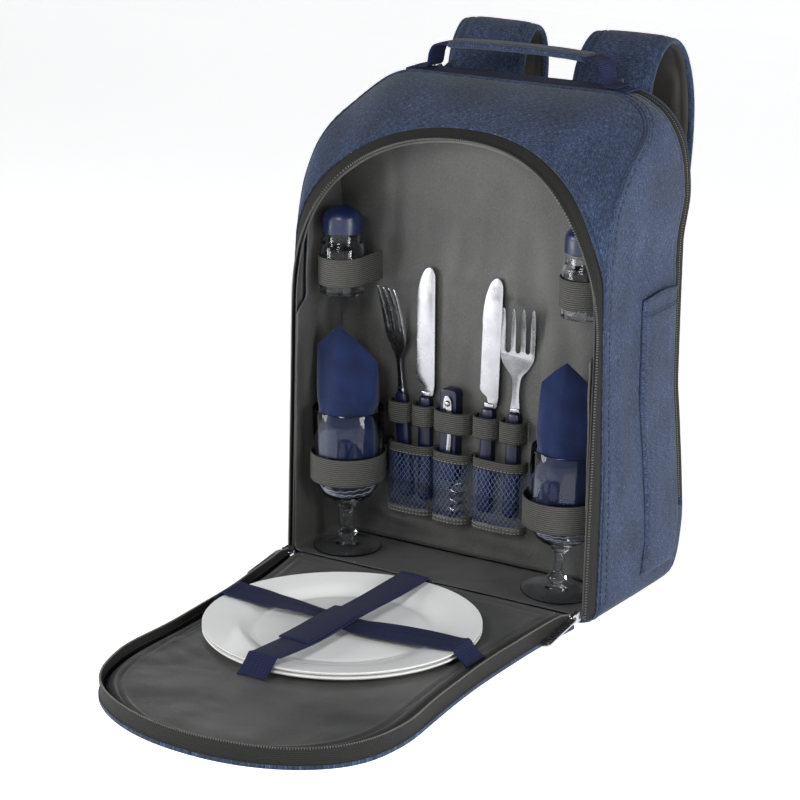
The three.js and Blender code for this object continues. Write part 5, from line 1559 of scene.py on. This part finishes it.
def make_door():
    panel_line = door_edge(-2.6, 200)
    panel_line[0].y = panel_line[-1].y = HINGE_Y - DOOR_GAP
    bm = bmesh.new()
    face = bm.faces.new([bm.verts.new((p.x, p.y, 0.0)) for p in panel_line])
    made = bmesh.ops.extrude_face_region(bm, geom=[face])
    bmesh.ops.translate(bm, vec=Vector((0, 0, 3)), verts=[v for v in made["geom"] if isinstance(v,
            bmesh.types.BMVert)])
    bmesh.ops.recalc_face_normals(bm, faces=bm.faces)
    layer = bm.loops.layers.uv.new("UVMap")
    for face in bm.faces:
        for loop in face.loops:
            loop[layer].uv = (loop.vert.co.x * MM, loop.vert.co.y * MM)
    panel = piece("Door_outer_cloth", bm, "canvas", ["door_panel"], sharp=50)

    pad = DOOR_PAD

    def lining_place(s, t):
        u = 2 * s - 1
        along = 1 - (1 - t) ** 1.7
        p = door_place(u, along, pad["inside"])
        side, from_hinge, half = door_distances(u, along)
        to_end = DOOR_LENGTH * (1 - along) * 1.2 + side * 0.3
        edge = min(side, to_end) if along > 0.6 else side
        rise = roll_edge(edge, 9) * roll_edge(from_hinge, 7)
        top = pad["bottom"] + (pad["top"] - 0.9 - pad["bottom"]) * rise
        x = p.x - DOOR_SKEW * along * OPENING_LENGTH
        top += folds(DOOR_FOLDS, x, along * OPENING_LENGTH) * roll_edge(edge, 20)
        top += (0.8 * soft_noise(p.x, p.y, 62, 51) + 0.35 * soft_noise(p.x, p.y, 24, 52)) * roll_edge(edge,
                                                                                                      20)
        seam = min(edge, from_hinge)
        top += 0.9 * hump(seam - 8.5, 2.0) - 1.3 * hump(seam - 12.5, 1.1)
        top += 0.7 * hump(seam - 16.5, 2.2)
        away = (Vector((p.x, p.y)) - PLATE_AT.xy).length
        pressed = smoothly((away - DISH["flat"]) / (DISH["edge"] - DISH["flat"]))
        top = min(top, DISH["floor"] + (pad["top"] + 0.5 - DISH["floor"]) * pressed)
        return Vector((p.x, p.y, max(top, pad["bottom"] + 0.3)))

    bm = grid(120, 150, lining_place, closed=True, away_from=Vector((0, -280, -2000)))
    rim = [e for e in bm.edges if e.is_boundary]
    made = bmesh.ops.extrude_edge_only(bm, edges=rim)
    lower = [v for v in made["geom"] if isinstance(v, bmesh.types.BMVert)]
    for vert in lower:
        vert.co.z = pad["bottom"]
    base = [e for e in bm.edges if e.is_boundary]
    bmesh.ops.triangle_fill(bm, use_beauty=True, use_dissolve=False, edges=base)
    bmesh.ops.recalc_face_normals(bm, faces=bm.faces)
    lining = piece("Door_lining", bm, "lining", ["door_lining"])

    stitch_line = []
    for k in range(401):
        t = k / 400
        u, along = (-1, t * 2) if t < 0.5 else (1, 2 - t * 2)
        inside = 12.5 + pad["inside"]
        eased = 1 - (1 - along) ** 1.7
        p = door_place(u, eased, inside)
        stitch_line.append(Vector((p.x, p.y, pad["top"] - 1.5)))
    repeated("Door_lining_stitching", small_block(2.4, 0.6, 0.5), sewn(stitch_line, 4.0, lambda s: UP),
             "thread")

    edge_line = door_edge(-DOOR_RIM["thickness"] / 2, 420)

    def rim_lean(s, t):
        out = 0.5 * math.sin(s * 60) * t + 0.8 * soft_noise(s * 900, 0, 70, 55) * t
        run = tangent(edge_line, s)
        return Vector((run.y, -run.x, 0)) * -(out + 0.7 * math.sin(math.pi * t)) * 0.8

    line = even(edge_line, 420)

    def rim_place(s, t):
        height = DOOR_RIM["height"] * (1 if s > 0.02 and s < 0.98 else 0.75 + 12 * min(s, 1 - s))
        return at_share(line, s) + UP * (0.2 + (height - 0.6) * t) + rim_lean(s, t)

    bm = grid(420, 10, rim_place)
    piece("Door_zip_tape", bm, "zip_tape", ["door_zip_tape"], wall=1.8, wall_side=0)
    crest = [rim_place(k / 500, 1) + UP * 0.2 for k in range(501)]
    repeated("Door_zip_teeth", small_block(1.0, 1.8, 1.4), sewn(crest, TOOTH_PITCH, lambda s: UP), "zip_coil")
    fold = [rim_place(k / 500, 0.62) for k in range(501)]
    ridge = []
    for k, p in enumerate(fold):
        run = tangent(line, k / 500)
        ridge.append(p + Vector((run.y, -run.x, 0)) * -1.2)
    piece("Door_zip_ridge", tube(ridge, 0.8, 8), "zip_tape")
    welt_line = [p + UP * 2.9 for p in even(door_edge(1.6, 420), 420)]
    piece("Door_edge_welt", tube(welt_line, 2.5, 12), "canvas")

    low, high = span("door_hinge")
    section = flowing(((0, 0.25), (0.05, 0.7), (0.22, 0.96), (0.5, 1.0), (0.78, 0.94), (0.95, 0.66),
                                           (1, 0.3)), 5)

    def hinge_place(s, t):
        p = at_share(section, t)
        x = low.x + (high.x - low.x) * s
        slack = 0.9 + 0.08 * soft_noise(x, t * 20, 26, 61) + 0.05 * soft_noise(x, 0, 9, 62)
        ends = roll_edge(min(x - low.x, high.x - x), 5)
        return Vector((x, low.y - 1.5 + (high.y - low.y + 2.2) * p.x,
                       0.4 + (high.z - 0.4) * p.y * slack * (0.6 + 0.4 * ends)))

    bm = grid(150, 30, hinge_place, away_from=Vector((0, (low.y + high.y) / 2, 0)))
    piece("Door_hinge", bm, "lining", ["door_hinge"], wall=1.6)


def make_zips():
    for side, sign in (("left", -1), ("right", 1)):
        low, high = span(f"zip_slider_{side}")
        centre = (low + high) / 2
        outline = flowing(((-6.5, -2.6), (-5, -4.1), (-1, -3.7), (3, -4.2), (6.3, -3.6), (6.5, 0)), 4)
        outline = [(p.x, p.y) for p in outline] + [(p.x, -p.y) for p in outline[-2::-1]]
        plates = []
        for offset in (-1.7, 1.7):
            plates.append(placed(slab(outline, 1.3, 0.4, 2), Matrix.Translation(Vector((0, offset, 0)))))
        neck = block((1.5, -1.4, -1.2), (5.5, 1.4, 1.2), 0.4, 2)
        arch = [
            Vector((-1 + 3.6 * math.cos(a), -2.4 - 1.9 * math.sin(a), 0)) for a in
            arc_steps(180, 16)
        ]
        bridge = tube(arch, 0.85, 10)
        body = joined(plates[0], plates[1], neck, bridge)
        flip = Matrix.Rotation(math.radians(180), 4, "X") if sign > 0 else Matrix.Identity(4)
        seat = Matrix.Translation(centre) @ Matrix.Rotation(math.radians(90), 4, "Z") @ flip
        piece(f"Zip_slider_{side.title()}", placed(body, seat), "zip_metal", [f"zip_slider_{side}"], sharp=40)

        low, high = span(f"zip_pull_{side}")
        width, long = high.x - low.x, 48
        half = width / 2
        outline = [(half * 0.55, 0), (half * 0.92, 1.2), (half * 0.92, long - 4)]
        outline += [(half * 0.92 * math.cos(a), long - 4 + 4 * math.sin(a)) for a in
                    [math.radians(180 * k / 8) for k in range(1, 8)]]
        outline += [(-px, pz) for px, pz in outline[2::-1]]
        bar = slab(outline, 1.7, 0.5, 2)
        ring = [
            Vector((2.6 * math.cos(a), 0, -0.4 + 2.4 * math.sin(a))) for a in
            arc_steps(360, 24)
        ]
        loop = tube(ring, 0.75, 8, lean=BACK)
        pull = joined(bar, loop)
        start = Vector(((low.x + high.x) / 2, high.y - 0.8, high.z - 1.2))
        lay = (Matrix.Translation(start) @ Matrix.Rotation(math.radians(10), 4, "X")
               @ Matrix.Rotation(math.radians(90), 4, "X"))
        piece(f"Zip_pull_{side.title()}", placed(pull, lay), "zip_metal", [f"zip_pull_{side}"], sharp=40)
        inlay = [block((-half * 0.62, -1.05, z), (half * 0.62, 1.05, z + 2.4), 0.5, 2) for z in
                 [7 + 3.2 * k for k in range(11)]]
        piece(f"Zip_pull_grip_{side.title()}", placed(joined(*inlay), lay), "buckle")


def make_plates():
    radius, thick = PLATE["radius"], PLATE["thickness"]
    face = [(0, 0.2), (0.3, 0.15), (0.58, 0.05), (0.63, 0.0), (0.66, 0.03), (0.7, 0.2), (0.75, 0.44),
            (0.8, 0.62),
            (0.86, 0.76), (0.95, 0.92), (0.985, 0.98), (1.0, 1.0)]
    rise = PLATE["height"] - thick
    upper = flowing([Vector((out * radius, thick + up * rise)) for out, up in face], 4)
    under = flowing([Vector(((out - 0.012 * min(up * 4, 1)) * radius, up * rise)) for out, up in face[3:]], 4)
    foot = [(0, 0.9), (60, 0.9), (62, 0.2), (64, 0.0), (66, 0.1), (68, 0.0)]
    for i, name in enumerate(("lower", "upper")):
        profile = foot + [(p.x, p.y) for p in under[1:]] + [(radius + 0.3, PLATE["height"] - 0.6),
                                                             (radius + 0.2, PLATE["height"] - 0.1)]
        profile += [(p.x, p.y) for p in upper[::-1][1:]]
        stand = Matrix.Translation(PLATE_AT + Vector((0, 0, i * PLATE["step"])))
        piece(f"Plate_{name.title()}", placed(turned(profile, 128), stand), "plate", [f"plate_{name}"],
              sharp=60)


def make_plate_straps():
    width, thick = PLATE_STRAP["width"], PLATE_STRAP["thickness"]
    rim = PLATE["step"] + PLATE["height"]
    lining = DOOR_PAD["top"] + 1.1

    def over(rows, direction, lift):
        return [PLATE_AT.xy.to_3d() + direction * out * PLATE["radius"] + UP * (max(PLATE_AT.z + up * rim,
                                                                                    lining) + lift)
                for out, up in rows]

    cross_rows = [(-1.07, -0.55), (-1.045, 0.85), (-0.985, 1.25), (-0.9, 1.16), (-0.5, 1.02), (0.0, 0.98),
                  (0.5, 1.02),
                  (0.9, 1.16), (0.985, 1.27), (1.035, 0.9), (1.12, -0.3)]
    line = even(flowing(over(cross_rows, ACROSS, 0.6), 12), 160)

    def cross_place(s, t):
        p = at_share(line, t)
        u = s - 0.5
        sway = 5 * math.sin(7 * t + 0.4) * math.sin(math.pi * t)
        turn = 0.55 * math.sin(9 * t + 1.2) * math.sin(math.pi * t) ** 0.7
        curl = u * width * math.cos(turn)
        rise = abs(u * width * math.sin(turn)) * (1 if u * turn > 0 else 0.0)
        return Vector((p.x, p.y + sway + curl, p.z + rise * 0.55 + 0.8 * (1 - (2 * u) ** 2)))

    bm = grid(16, 160, cross_place, away_from=Vector((0, PLATE_AT.y, -500)))
    strap = piece("Plate_strap_cross", bm, "webbing", ["plate_strap_cross"], wall=thick)
    declare_sheet(strap, (width, lengths(line)[-1]))

    long_rows = [(-1.12, -0.55), (-1.03, 0.85), (-0.97, 1.3), (-0.9, 1.2), (-0.5, 1.08), (0.0, 1.16),
                 (0.5, 1.08),
                 (0.9, 1.2), (0.97, 1.3), (1.03, 0.85), (1.12, -0.55)]
    line = even(flowing(over(long_rows, BACK, 2.1), 12), 160)

    def long_place(s, t):
        p = at_share(line, t)
        u = s - 0.5
        bend = 1.5 * math.sin(5 * t) * math.sin(math.pi * t)
        return Vector((p.x + u * width + bend, p.y, p.z + 0.8 * (1 - (2 * u) ** 2)
                       + 0.5 * math.sin(11 * t + 2 * u)))

    bm = grid(16, 160, long_place, away_from=Vector((0, PLATE_AT.y, -500)))
    strap = piece("Plate_strap_long", bm, "webbing", ["plate_strap_long"], wall=thick)
    declare_sheet(strap, (width, lengths(line)[-1]))
    overlap = line[38:88]

    def tab_place(s, t):
        p = at_share(overlap, t)
        u = s - 0.5
        ends = roll_edge(min(t, 1 - t) * lengths(overlap)[-1], 3)
        return Vector((p.x + u * (width + 1.5), p.y, p.z + 1.7 + 0.9 * (1 - (2 * u) ** 2) + 0.6 * ends))

    bm = grid(16, 50, tab_place, away_from=Vector((0, PLATE_AT.y, -500)))
    piece("Plate_strap_tab", bm, "webbing", wall=thick)
    for k, share in enumerate((0.05, 0.95)):
        sewn_line = [tab_place(i / 20 * 0.84 + 0.08, share) + UP * 0.3 for i in range(21)]
        repeated(f"Plate_strap_stitching_{k}", small_block(2.0, 0.5, 0.4), sewn(sewn_line, 3.0, lambda s: UP),
                 "blue_thread")


# Handle and straps

def make_handle():
    low, high = span("handle_base")
    y = (low.y + high.y) / 2
    wide = HANDLE["width"]

    def base_place(s, t):
        x = low.x + (high.x - low.x) * t
        lift = 0.5 * soft_noise(x, 0, 30, 71) + 0.8 * (1 - (2 * s - 1) ** 2)
        return Vector((x, low.y + (high.y - low.y) * s, high.z - 0.9 + lift * 0.5))

    bm = grid(14, 120, base_place, away_from=Vector((0, y, 0)))
    base = piece("Handle_base", bm, "webbing", ["handle_base"], wall=1.8)
    declare_sheet(base, (wide, high.x - low.x))
    boxes = []
    for sign in (-1, 1):
        near, far, front, rear = 88, 106, low.y + 3, high.y - 3
        corners = [(near, front), (far, front), (far, rear), (near, rear), (near, front), (far, rear)]
        line = [Vector((sign * x, back, high.z + 0.2)) for x, back in corners]
        crossing = [Vector((sign * far, front, high.z + 0.2)), Vector((sign * near, rear, high.z + 0.2))]
        for a, b in [*zip(line, line[1:]), crossing]:
            boxes += sewn([a, b], 2.8, lambda s: UP)
    repeated("Handle_base_stitching", small_block(2.0, 0.6, 0.5), boxes, "blue_thread")

    foot = high.z + SEAM_GAP
    top = foot + HANDLE["rise"]
    half_span, grip = HANDLE["span"] / 2, HANDLE["grip"]
    for side, sign in (("left", -1), ("right", 1)):
        path = flowing([Vector((sign * px, y, pz)) for px, pz in (
            (half_span + 14, foot + 1), (half_span + 6, foot + 1.1), (half_span + 1, foot + 3.4),
            (half_span - 0.5, foot + 9), (half_span - 1.5, foot + HANDLE["rise"] * 0.55),
            (half_span - 5, top - grip / 2 - 2.4), (half_span - 12, top - grip / 2),
            (HANDLE["grip_length"] / 2 - 6, top - grip / 2),
        )], 8)
        bm = ribbon(even(path, 60), BACK, wide, columns=10, crown=0.3)
        strap = piece(f"Handle_end_{side.title()}", bm, "webbing", [f"handle_end_{side}"], wall=1.9,
                      wall_side=0)
        declare_sheet(strap, (wide, lengths(path)[-1]))

    length = HANDLE["grip_length"]

    def grip_place(s, t):
        x = (t - 0.5) * length
        angle = 2 * math.pi * s
        ends = roll_edge(min(t, 1 - t) * length, 3) * 0.35 + 0.65
        across = math.copysign(abs(math.cos(angle)) ** 0.5, math.cos(angle))
        out = math.copysign(abs(math.sin(angle)) ** 0.8, math.sin(angle))
        droop = 2 * (1 - (2 * t - 1) ** 2)
        wrinkle = 0.25 * soft_noise(x, s * 60, 9, 72)
        seam = -0.7 * hump(abs(across) - 0.72, 0.06)
        return Vector((x, y + (wide / 2 + 0.8) * across * ends,
                       top - grip / 2 + droop + (grip / 2 * ends + wrinkle + seam) * out))

    bm = grid(48, 90, grip_place, closed=True)
    closed_ends(bm, 60)
    wrap = piece("Handle_grip", bm, "canvas", ["handle_grip"])


def strap_line(sign):
    points = []
    for i, (back, up) in enumerate(STRAP_PATH):
        spread = STRAP["spread"] * (i / (len(STRAP_PATH) - 1)) ** 2
        points.append(Vector((sign * (STRAP["spacing"] / 2 + spread), HINGE_Y + PACK_DEPTH * (1 + back),
                              PACK_HEIGHT * up)))
    return even(flowing(points, 10), 150)


def puffed(obj, pressure, cap):
    """Lets the air out into a pad: its cloth swells a little under pressure, by no more than a cap"""
    rest = [vert.co.copy() for vert in obj.data.vertices]
    cloth = obj.modifiers.new("Cloth", "CLOTH")
    cloth.settings.use_pressure = True
    cloth.settings.uniform_pressure_force = pressure
    cloth.settings.tension_stiffness = cloth.settings.compression_stiffness = 15
    cloth.settings.bending_stiffness = 0.5
    cloth.settings.effector_weights.gravity = 0
    scene = bpy.context.scene
    cloth.point_cache.frame_start, cloth.point_cache.frame_end = 1, 20
    for step in range(1, 21):
        scene.frame_set(step)
    shaped = obj.evaluated_get(bpy.context.evaluated_depsgraph_get()).to_mesh()
    moved = [vert.co.copy() for vert in shaped.vertices]
    obj.to_mesh_clear()
    obj.modifiers.remove(cloth)
    for vert, start, end in zip(obj.data.vertices, rest, moved):
        step = end - start
        if step.length > cap * MM:
            step *= cap * MM / step.length
        vert.co = start + step
    scene.frame_set(1)


def make_straps():
    for side, sign in (("left", -1), ("right", 1)):
        line = strap_line(sign)
        total = lengths(line)[-1]

        def width(t):
            return STRAP["width"] + (STRAP["foot"] - STRAP["width"]) * smoothly((t - 0.4) / 0.6)

        def pad_place(s, t):
            angle = 2 * math.pi * s
            run = tangent(line, t)
            normal = run.cross(ACROSS).normalized()
            across = math.copysign(abs(math.cos(angle)) ** 0.45, math.cos(angle))
            out = math.copysign(abs(math.sin(angle)) ** 0.8, math.sin(angle))
            ends = roll_edge(min(t, 1 - t) * total, 4) * 0.4 + 0.6
            half = width(t) / 2 - 3
            thick = (STRAP["thickness"] - 1.5) / 2 * ends
            seam = 1.5 * hump(abs(across) * half - (half - 8), 1.4)
            crease = 0.5 * soft_noise(across * half, t * total, 32, 81 + sign)
            return at_share(line, t) + ACROSS * (half * across) + normal * ((thick - seam) + crease) * out

        bm = grid(56, 150, pad_place, closed=True)
        closed_ends(bm, 60)
        strap = piece(f"Shoulder_strap_{side.title()}", bm, "canvas", [f"shoulder_strap_{side}"])
        strap.data.materials.append(FINISHES["strap_lining"])
        for polygon in strap.data.polygons:
            toward = polygon.center / MM
            share = min(range(0, 151, 3), key=lambda k: (line[k] - toward).length_squared) / 150
            normal = tangent(line, share).cross(ACROSS)
            inner = (toward - at_share(line, share)).dot(normal) * sign_of_inside(line) > 0.5
            polygon.material_index = 1 if inner else 0
        puffed(strap, 2.5, 2.2)

        def bound_place(s, t, edge):
            run = tangent(line, t)
            normal = run.cross(ACROSS).normalized()
            at = at_share(line, t) + ACROSS * edge * (width(t) / 2 - 3.5)
            angle = math.radians(-120 + 240 * s)
            return at + ACROSS * edge * 3.6 * math.cos(angle) + normal * 2.4 * math.sin(angle)

        for edge, word in ((-1, "Outer"), (1, "Inner")):
            bm = grid(10, 150, lambda s, t: bound_place(s, t, edge))
            bmesh.ops.recalc_face_normals(bm, faces=bm.faces)
            piece(f"Strap_binding_{word}_{side.title()}", bm, "canvas", wall=0.9)

        for edge in (-1, 1):
            sewn_line, outs = [], []
            for k in range(151):
                run = tangent(line, k / 150)
                normal = run.cross(ACROSS).normalized()
                outs.append(normal)
                at = line[k] + ACROSS * edge * (width(k / 150) / 2 - 11)
                sewn_line.append(at + normal * (STRAP["thickness"] / 2 - 2.1) * -sign_of_inside(line))
            word = "Outer" if edge < 0 else "Inner"
            repeated(f"Strap_stitching_{word}_{side.title()}", small_block(2.6, 0.6, 0.5),
                     sewn(sewn_line, STITCH_PITCH, lambda s: outs[int(s * 150)] * -sign_of_inside(line)),
                     "blue_thread")
        make_buckle(side, sign, line)


def sign_of_inside(line):
    """1 where a strap's normal points to the pack, at its lower half"""
    normal = tangent(line, 0.8).cross(ACROSS)
    return 1 if normal.y < 0 else -1


def make_buckle(side, sign, line):
    low, high = span(f"strap_buckle_{side}")
    run = tangent(line, 1)
    centre = (low + high) / 2
    wide, tall, thick = 34, 30, 5
    rails = [block((-wide / 2, -thick / 2, -tall / 2), (-wide / 2 + 3.6, thick / 2, tall / 2), 1.2, 3),
             block((wide / 2 - 3.6, -thick / 2, -tall / 2), (wide / 2, thick / 2, tall / 2), 1.2, 3)]
    bars = [block((-wide / 2 + 1, -thick / 2 + 0.4, z - 1.9), (wide / 2 - 1, thick / 2 - 0.4, z + 1.9), 1.1,
                  3)
            for z in (-tall / 2 + 2, -0.6, tall / 2 - 2)]
    lip = block((-wide / 2 + 4, -thick / 2 - 1.2, -tall / 2 - 1.5),
                (wide / 2 - 4, thick / 2 - 2, -tall / 2 + 2.5), 0.9, 2)
    turn = Matrix.Rotation(math.atan2(run.y, -run.z), 4, "X")
    piece(f"Strap_buckle_{side.title()}", placed(joined(*rails, *bars, lip),
                                                 Matrix.Translation(centre) @ turn),
          "buckle", [f"strap_buckle_{side}"], sharp=40)

    below = centre + run * (tall / 2 + 0.4)
    anchor_z = PACK_HEIGHT * 0.1
    anchor = Vector((sign * half_width(OUTLINE, anchor_z) * 0.8,
                     rear_seam(anchor_z) + SEAM_GAP + BACK_PANEL["thickness"] + BACK_PANEL["crown"] + 2,
                     anchor_z))
    points = [centre + run * 3 + Vector((0, 2.2, 0)), below + Vector((0, 0.8, 0)),
              (below + anchor) / 2 + Vector((0, 6, 0)), anchor + Vector((0, 0, 12)),
              anchor + Vector((0, -1, -14))]
    path = even(flowing(points, 16), 90)
    bm = ribbon(path, ACROSS, 25, columns=8)
    webbing = piece(f"Strap_webbing_{side.title()}", bm, "webbing", [f"strap_webbing_{side}"], wall=1.9,
                    wall_side=0)
    declare_sheet(webbing, (25, lengths(path)[-1]))


# Stage

def make_stage():
    world = bpy.data.worlds.new("Studio")
    bpy.context.scene.world = world
    world.use_nodes = True
    tree = world.node_tree
    way = node(tree, "ShaderNodeTexCoord").outputs["Generated"]
    height = node(tree, "ShaderNodeSeparateXYZ", sockets={0: way}).outputs["Z"]
    glow = blended(tree, ranged(tree, height, 0.03, 0.42), (1.0, 1.0, 1.0, 1), (0.07, 0.073, 0.08, 1))
    tree.links.new(glow, tree.nodes["Background"].inputs["Color"])
    tree.nodes["Background"].inputs["Strength"].default_value = 1.0

    def floor_place(s, t):
        y = -4000 + 9000 * t
        rise = max(y - 2500, 0)
        return Vector((-5000 + 10000 * s, y, -0.1 + (rise / 2500) ** 2 * 1800))

    bm = grid(20, 60, floor_place, away_from=Vector((0, 0, -9000)))
    bmesh.ops.scale(bm, vec=Vector((MM, MM, MM)), verts=bm.verts)
    mesh = bpy.data.meshes.new("Floor")
    bm.to_mesh(mesh)
    bm.free()
    floor = bpy.data.objects.new("Floor", mesh)
    bpy.context.scene.collection.objects.link(floor)
    # A paper sweep is matt and white, so it gives the pack a soft shadow and no reflection
    tree, shader = finish("floor", "Paper sweep, pale", roughness=0.6, specular_ior_level=0.15)
    grain = node(tree, "ShaderNodeTexNoise", sockets={"Vector": object_of(tree), "Scale": 3.0}).outputs["Fac"]
    tree.links.new(blended(tree, grain, colour("#f7f7f8"), colour("#ffffff")), shader.inputs["Base Color"])
    shader.inputs["Emission Color"].default_value = (1, 1, 1, 1)
    shader.inputs["Emission Strength"].default_value = 0.7
    mesh.materials.append(FINISHES["floor"])

    target = Vector((0, -60, 200)) * MM
    lights = [
        ("Right", (1700, -250, 480), 0.9, 27),
        ("Left front", (-1400, -1300, 560), 0.9, 21),
        ("Front", (250, -1900, 1250), 0.7, 22),
    ]
    for name, place, size, watts in lights:
        lamp = bpy.data.lights.new(name, "AREA")
        lamp.shape, lamp.size, lamp.energy = "DISK", size, watts
        obj = bpy.data.objects.new(name, lamp)
        obj.location = Vector(place) * MM
        obj.rotation_euler = (target - obj.location).to_track_quat("-Z", "Y").to_euler()
        bpy.context.scene.collection.objects.link(obj)

    azimuth, elevation, roll = math.radians(32.63), math.radians(16.25), math.radians(0.685)
    forward = Vector((-math.sin(azimuth) * math.cos(elevation), math.cos(azimuth) * math.cos(elevation),
                      -math.sin(elevation)))
    right = Vector((math.cos(azimuth), math.sin(azimuth), 0))
    up = right.cross(forward)
    turned_right = right * math.cos(roll) + up * math.sin(roll)
    turned_up = up * math.cos(roll) - right * math.sin(roll)
    lens = bpy.data.cameras.new("Camera")
    lens.lens, lens.sensor_width, lens.clip_end = 117, 36, 50
    eye = bpy.data.objects.new("Camera", lens)
    axes = Matrix((turned_right, turned_up, -forward)).transposed().to_4x4()
    eye.matrix_world = Matrix.Translation(Vector((1115.3, -1880.3, 787.9)) * MM) @ axes
    bpy.context.scene.collection.objects.link(eye)
    bpy.context.scene.camera = eye
    bpy.context.scene.view_settings.view_transform = "Standard"


class BackpackColours(bpy.types.PropertyGroup):
    """Colours of the pack that a user would change"""
    canvas_dark: bpy.props.FloatVectorProperty(
        name="Canvas, dark yarn", description="Darkest yarns of the heathered canvas", subtype="COLOR",
        size=4,
        default=colour("#0d121b"))
    canvas: bpy.props.FloatVectorProperty(
        name="Canvas", description="Middle tone of the heathered canvas", subtype="COLOR", size=4,
        default=colour("#233047"))
    canvas_light: bpy.props.FloatVectorProperty(
        name="Canvas, light yarn", description="Lightest yarns of the heathered canvas", subtype="COLOR",
        size=4,
        default=colour("#4d5f83"))


def step(idname, label, description, *makers):
    """Operator that makes a group of pieces"""
    def execute(self, context):
        for maker in makers:
            maker()
        return {"FINISHED"}

    return type(f"BACKPACK_OT_{idname}", (bpy.types.Operator,), {
        "__doc__": description, "bl_idname": f"backpack.{idname}", "bl_label": label, "execute": execute})


STEPS = [
    step("finishes", "Finishes", "Mixes the materials", make_finishes),
    step("stage", "Stage", "Sets the floor, the lights and the camera", make_stage),
    step("body", "Pack body", "Makes the side wall, the front and the back", make_gusset, make_front,
         make_rear),
    step("pockets", "Side pockets", "Sews the side pockets on", make_pockets),
    step("compartment", "Front compartment", "Lines the front compartment", make_compartment),
    step("cutlery_pocket", "Cutlery pocket", "Makes the loops, net and binding", make_cutlery_pocket),
    step("cutlery", "Cutlery", "Makes the forks and knives", make_cutlery),
    step("corkscrew", "Corkscrew", "Makes the corkscrew", make_corkscrew),
    step("glasses", "Glasses", "Makes the glasses, napkins and bands", make_glasses),
    step("shakers", "Shakers", "Makes the shakers and their bands", make_shakers),
    step("door", "Door", "Makes the open door", make_door),
    step("zips", "Zip sliders", "Makes the sliders and pulls", make_zips),
    step("plates", "Plates", "Makes the plates", make_plates),
    step("plate_straps", "Plate straps", "Makes the straps over the plates", make_plate_straps),
    step("handle", "Carry handle", "Makes the carry handle", make_handle),
    step("straps", "Shoulder straps", "Makes the shoulder straps", make_straps),
]


class BACKPACK_PT_pieces(bpy.types.Panel):
    """Lists the colours and the groups of pieces"""
    bl_idname = "BACKPACK_PT_pieces"
    bl_label = "Cooler backpack"
    bl_space_type = "VIEW_3D"
    bl_region_type = "UI"
    bl_category = "Backpack"

    def draw(self, context):
        chosen = context.scene.backpack_colours
        for name in ("canvas_dark", "canvas", "canvas_light"):
            self.layout.prop(chosen, name)
        for made in STEPS:
            self.layout.operator(made.bl_idname)


def register():
    bpy.utils.register_class(BackpackColours)
    bpy.types.Scene.backpack_colours = bpy.props.PointerProperty(type=BackpackColours)
    bpy.utils.register_class(BACKPACK_PT_pieces)
    for made in STEPS:
        bpy.utils.register_class(made)


def unregister():
    for made in reversed(STEPS):
        bpy.utils.unregister_class(made)
    bpy.utils.unregister_class(BACKPACK_PT_pieces)
    del bpy.types.Scene.backpack_colours
    bpy.utils.unregister_class(BackpackColours)


def main():
    register()
    for made in STEPS:
        getattr(bpy.ops.backpack, made.bl_idname.split(".")[1])()


if __name__ == "__main__":
    main()
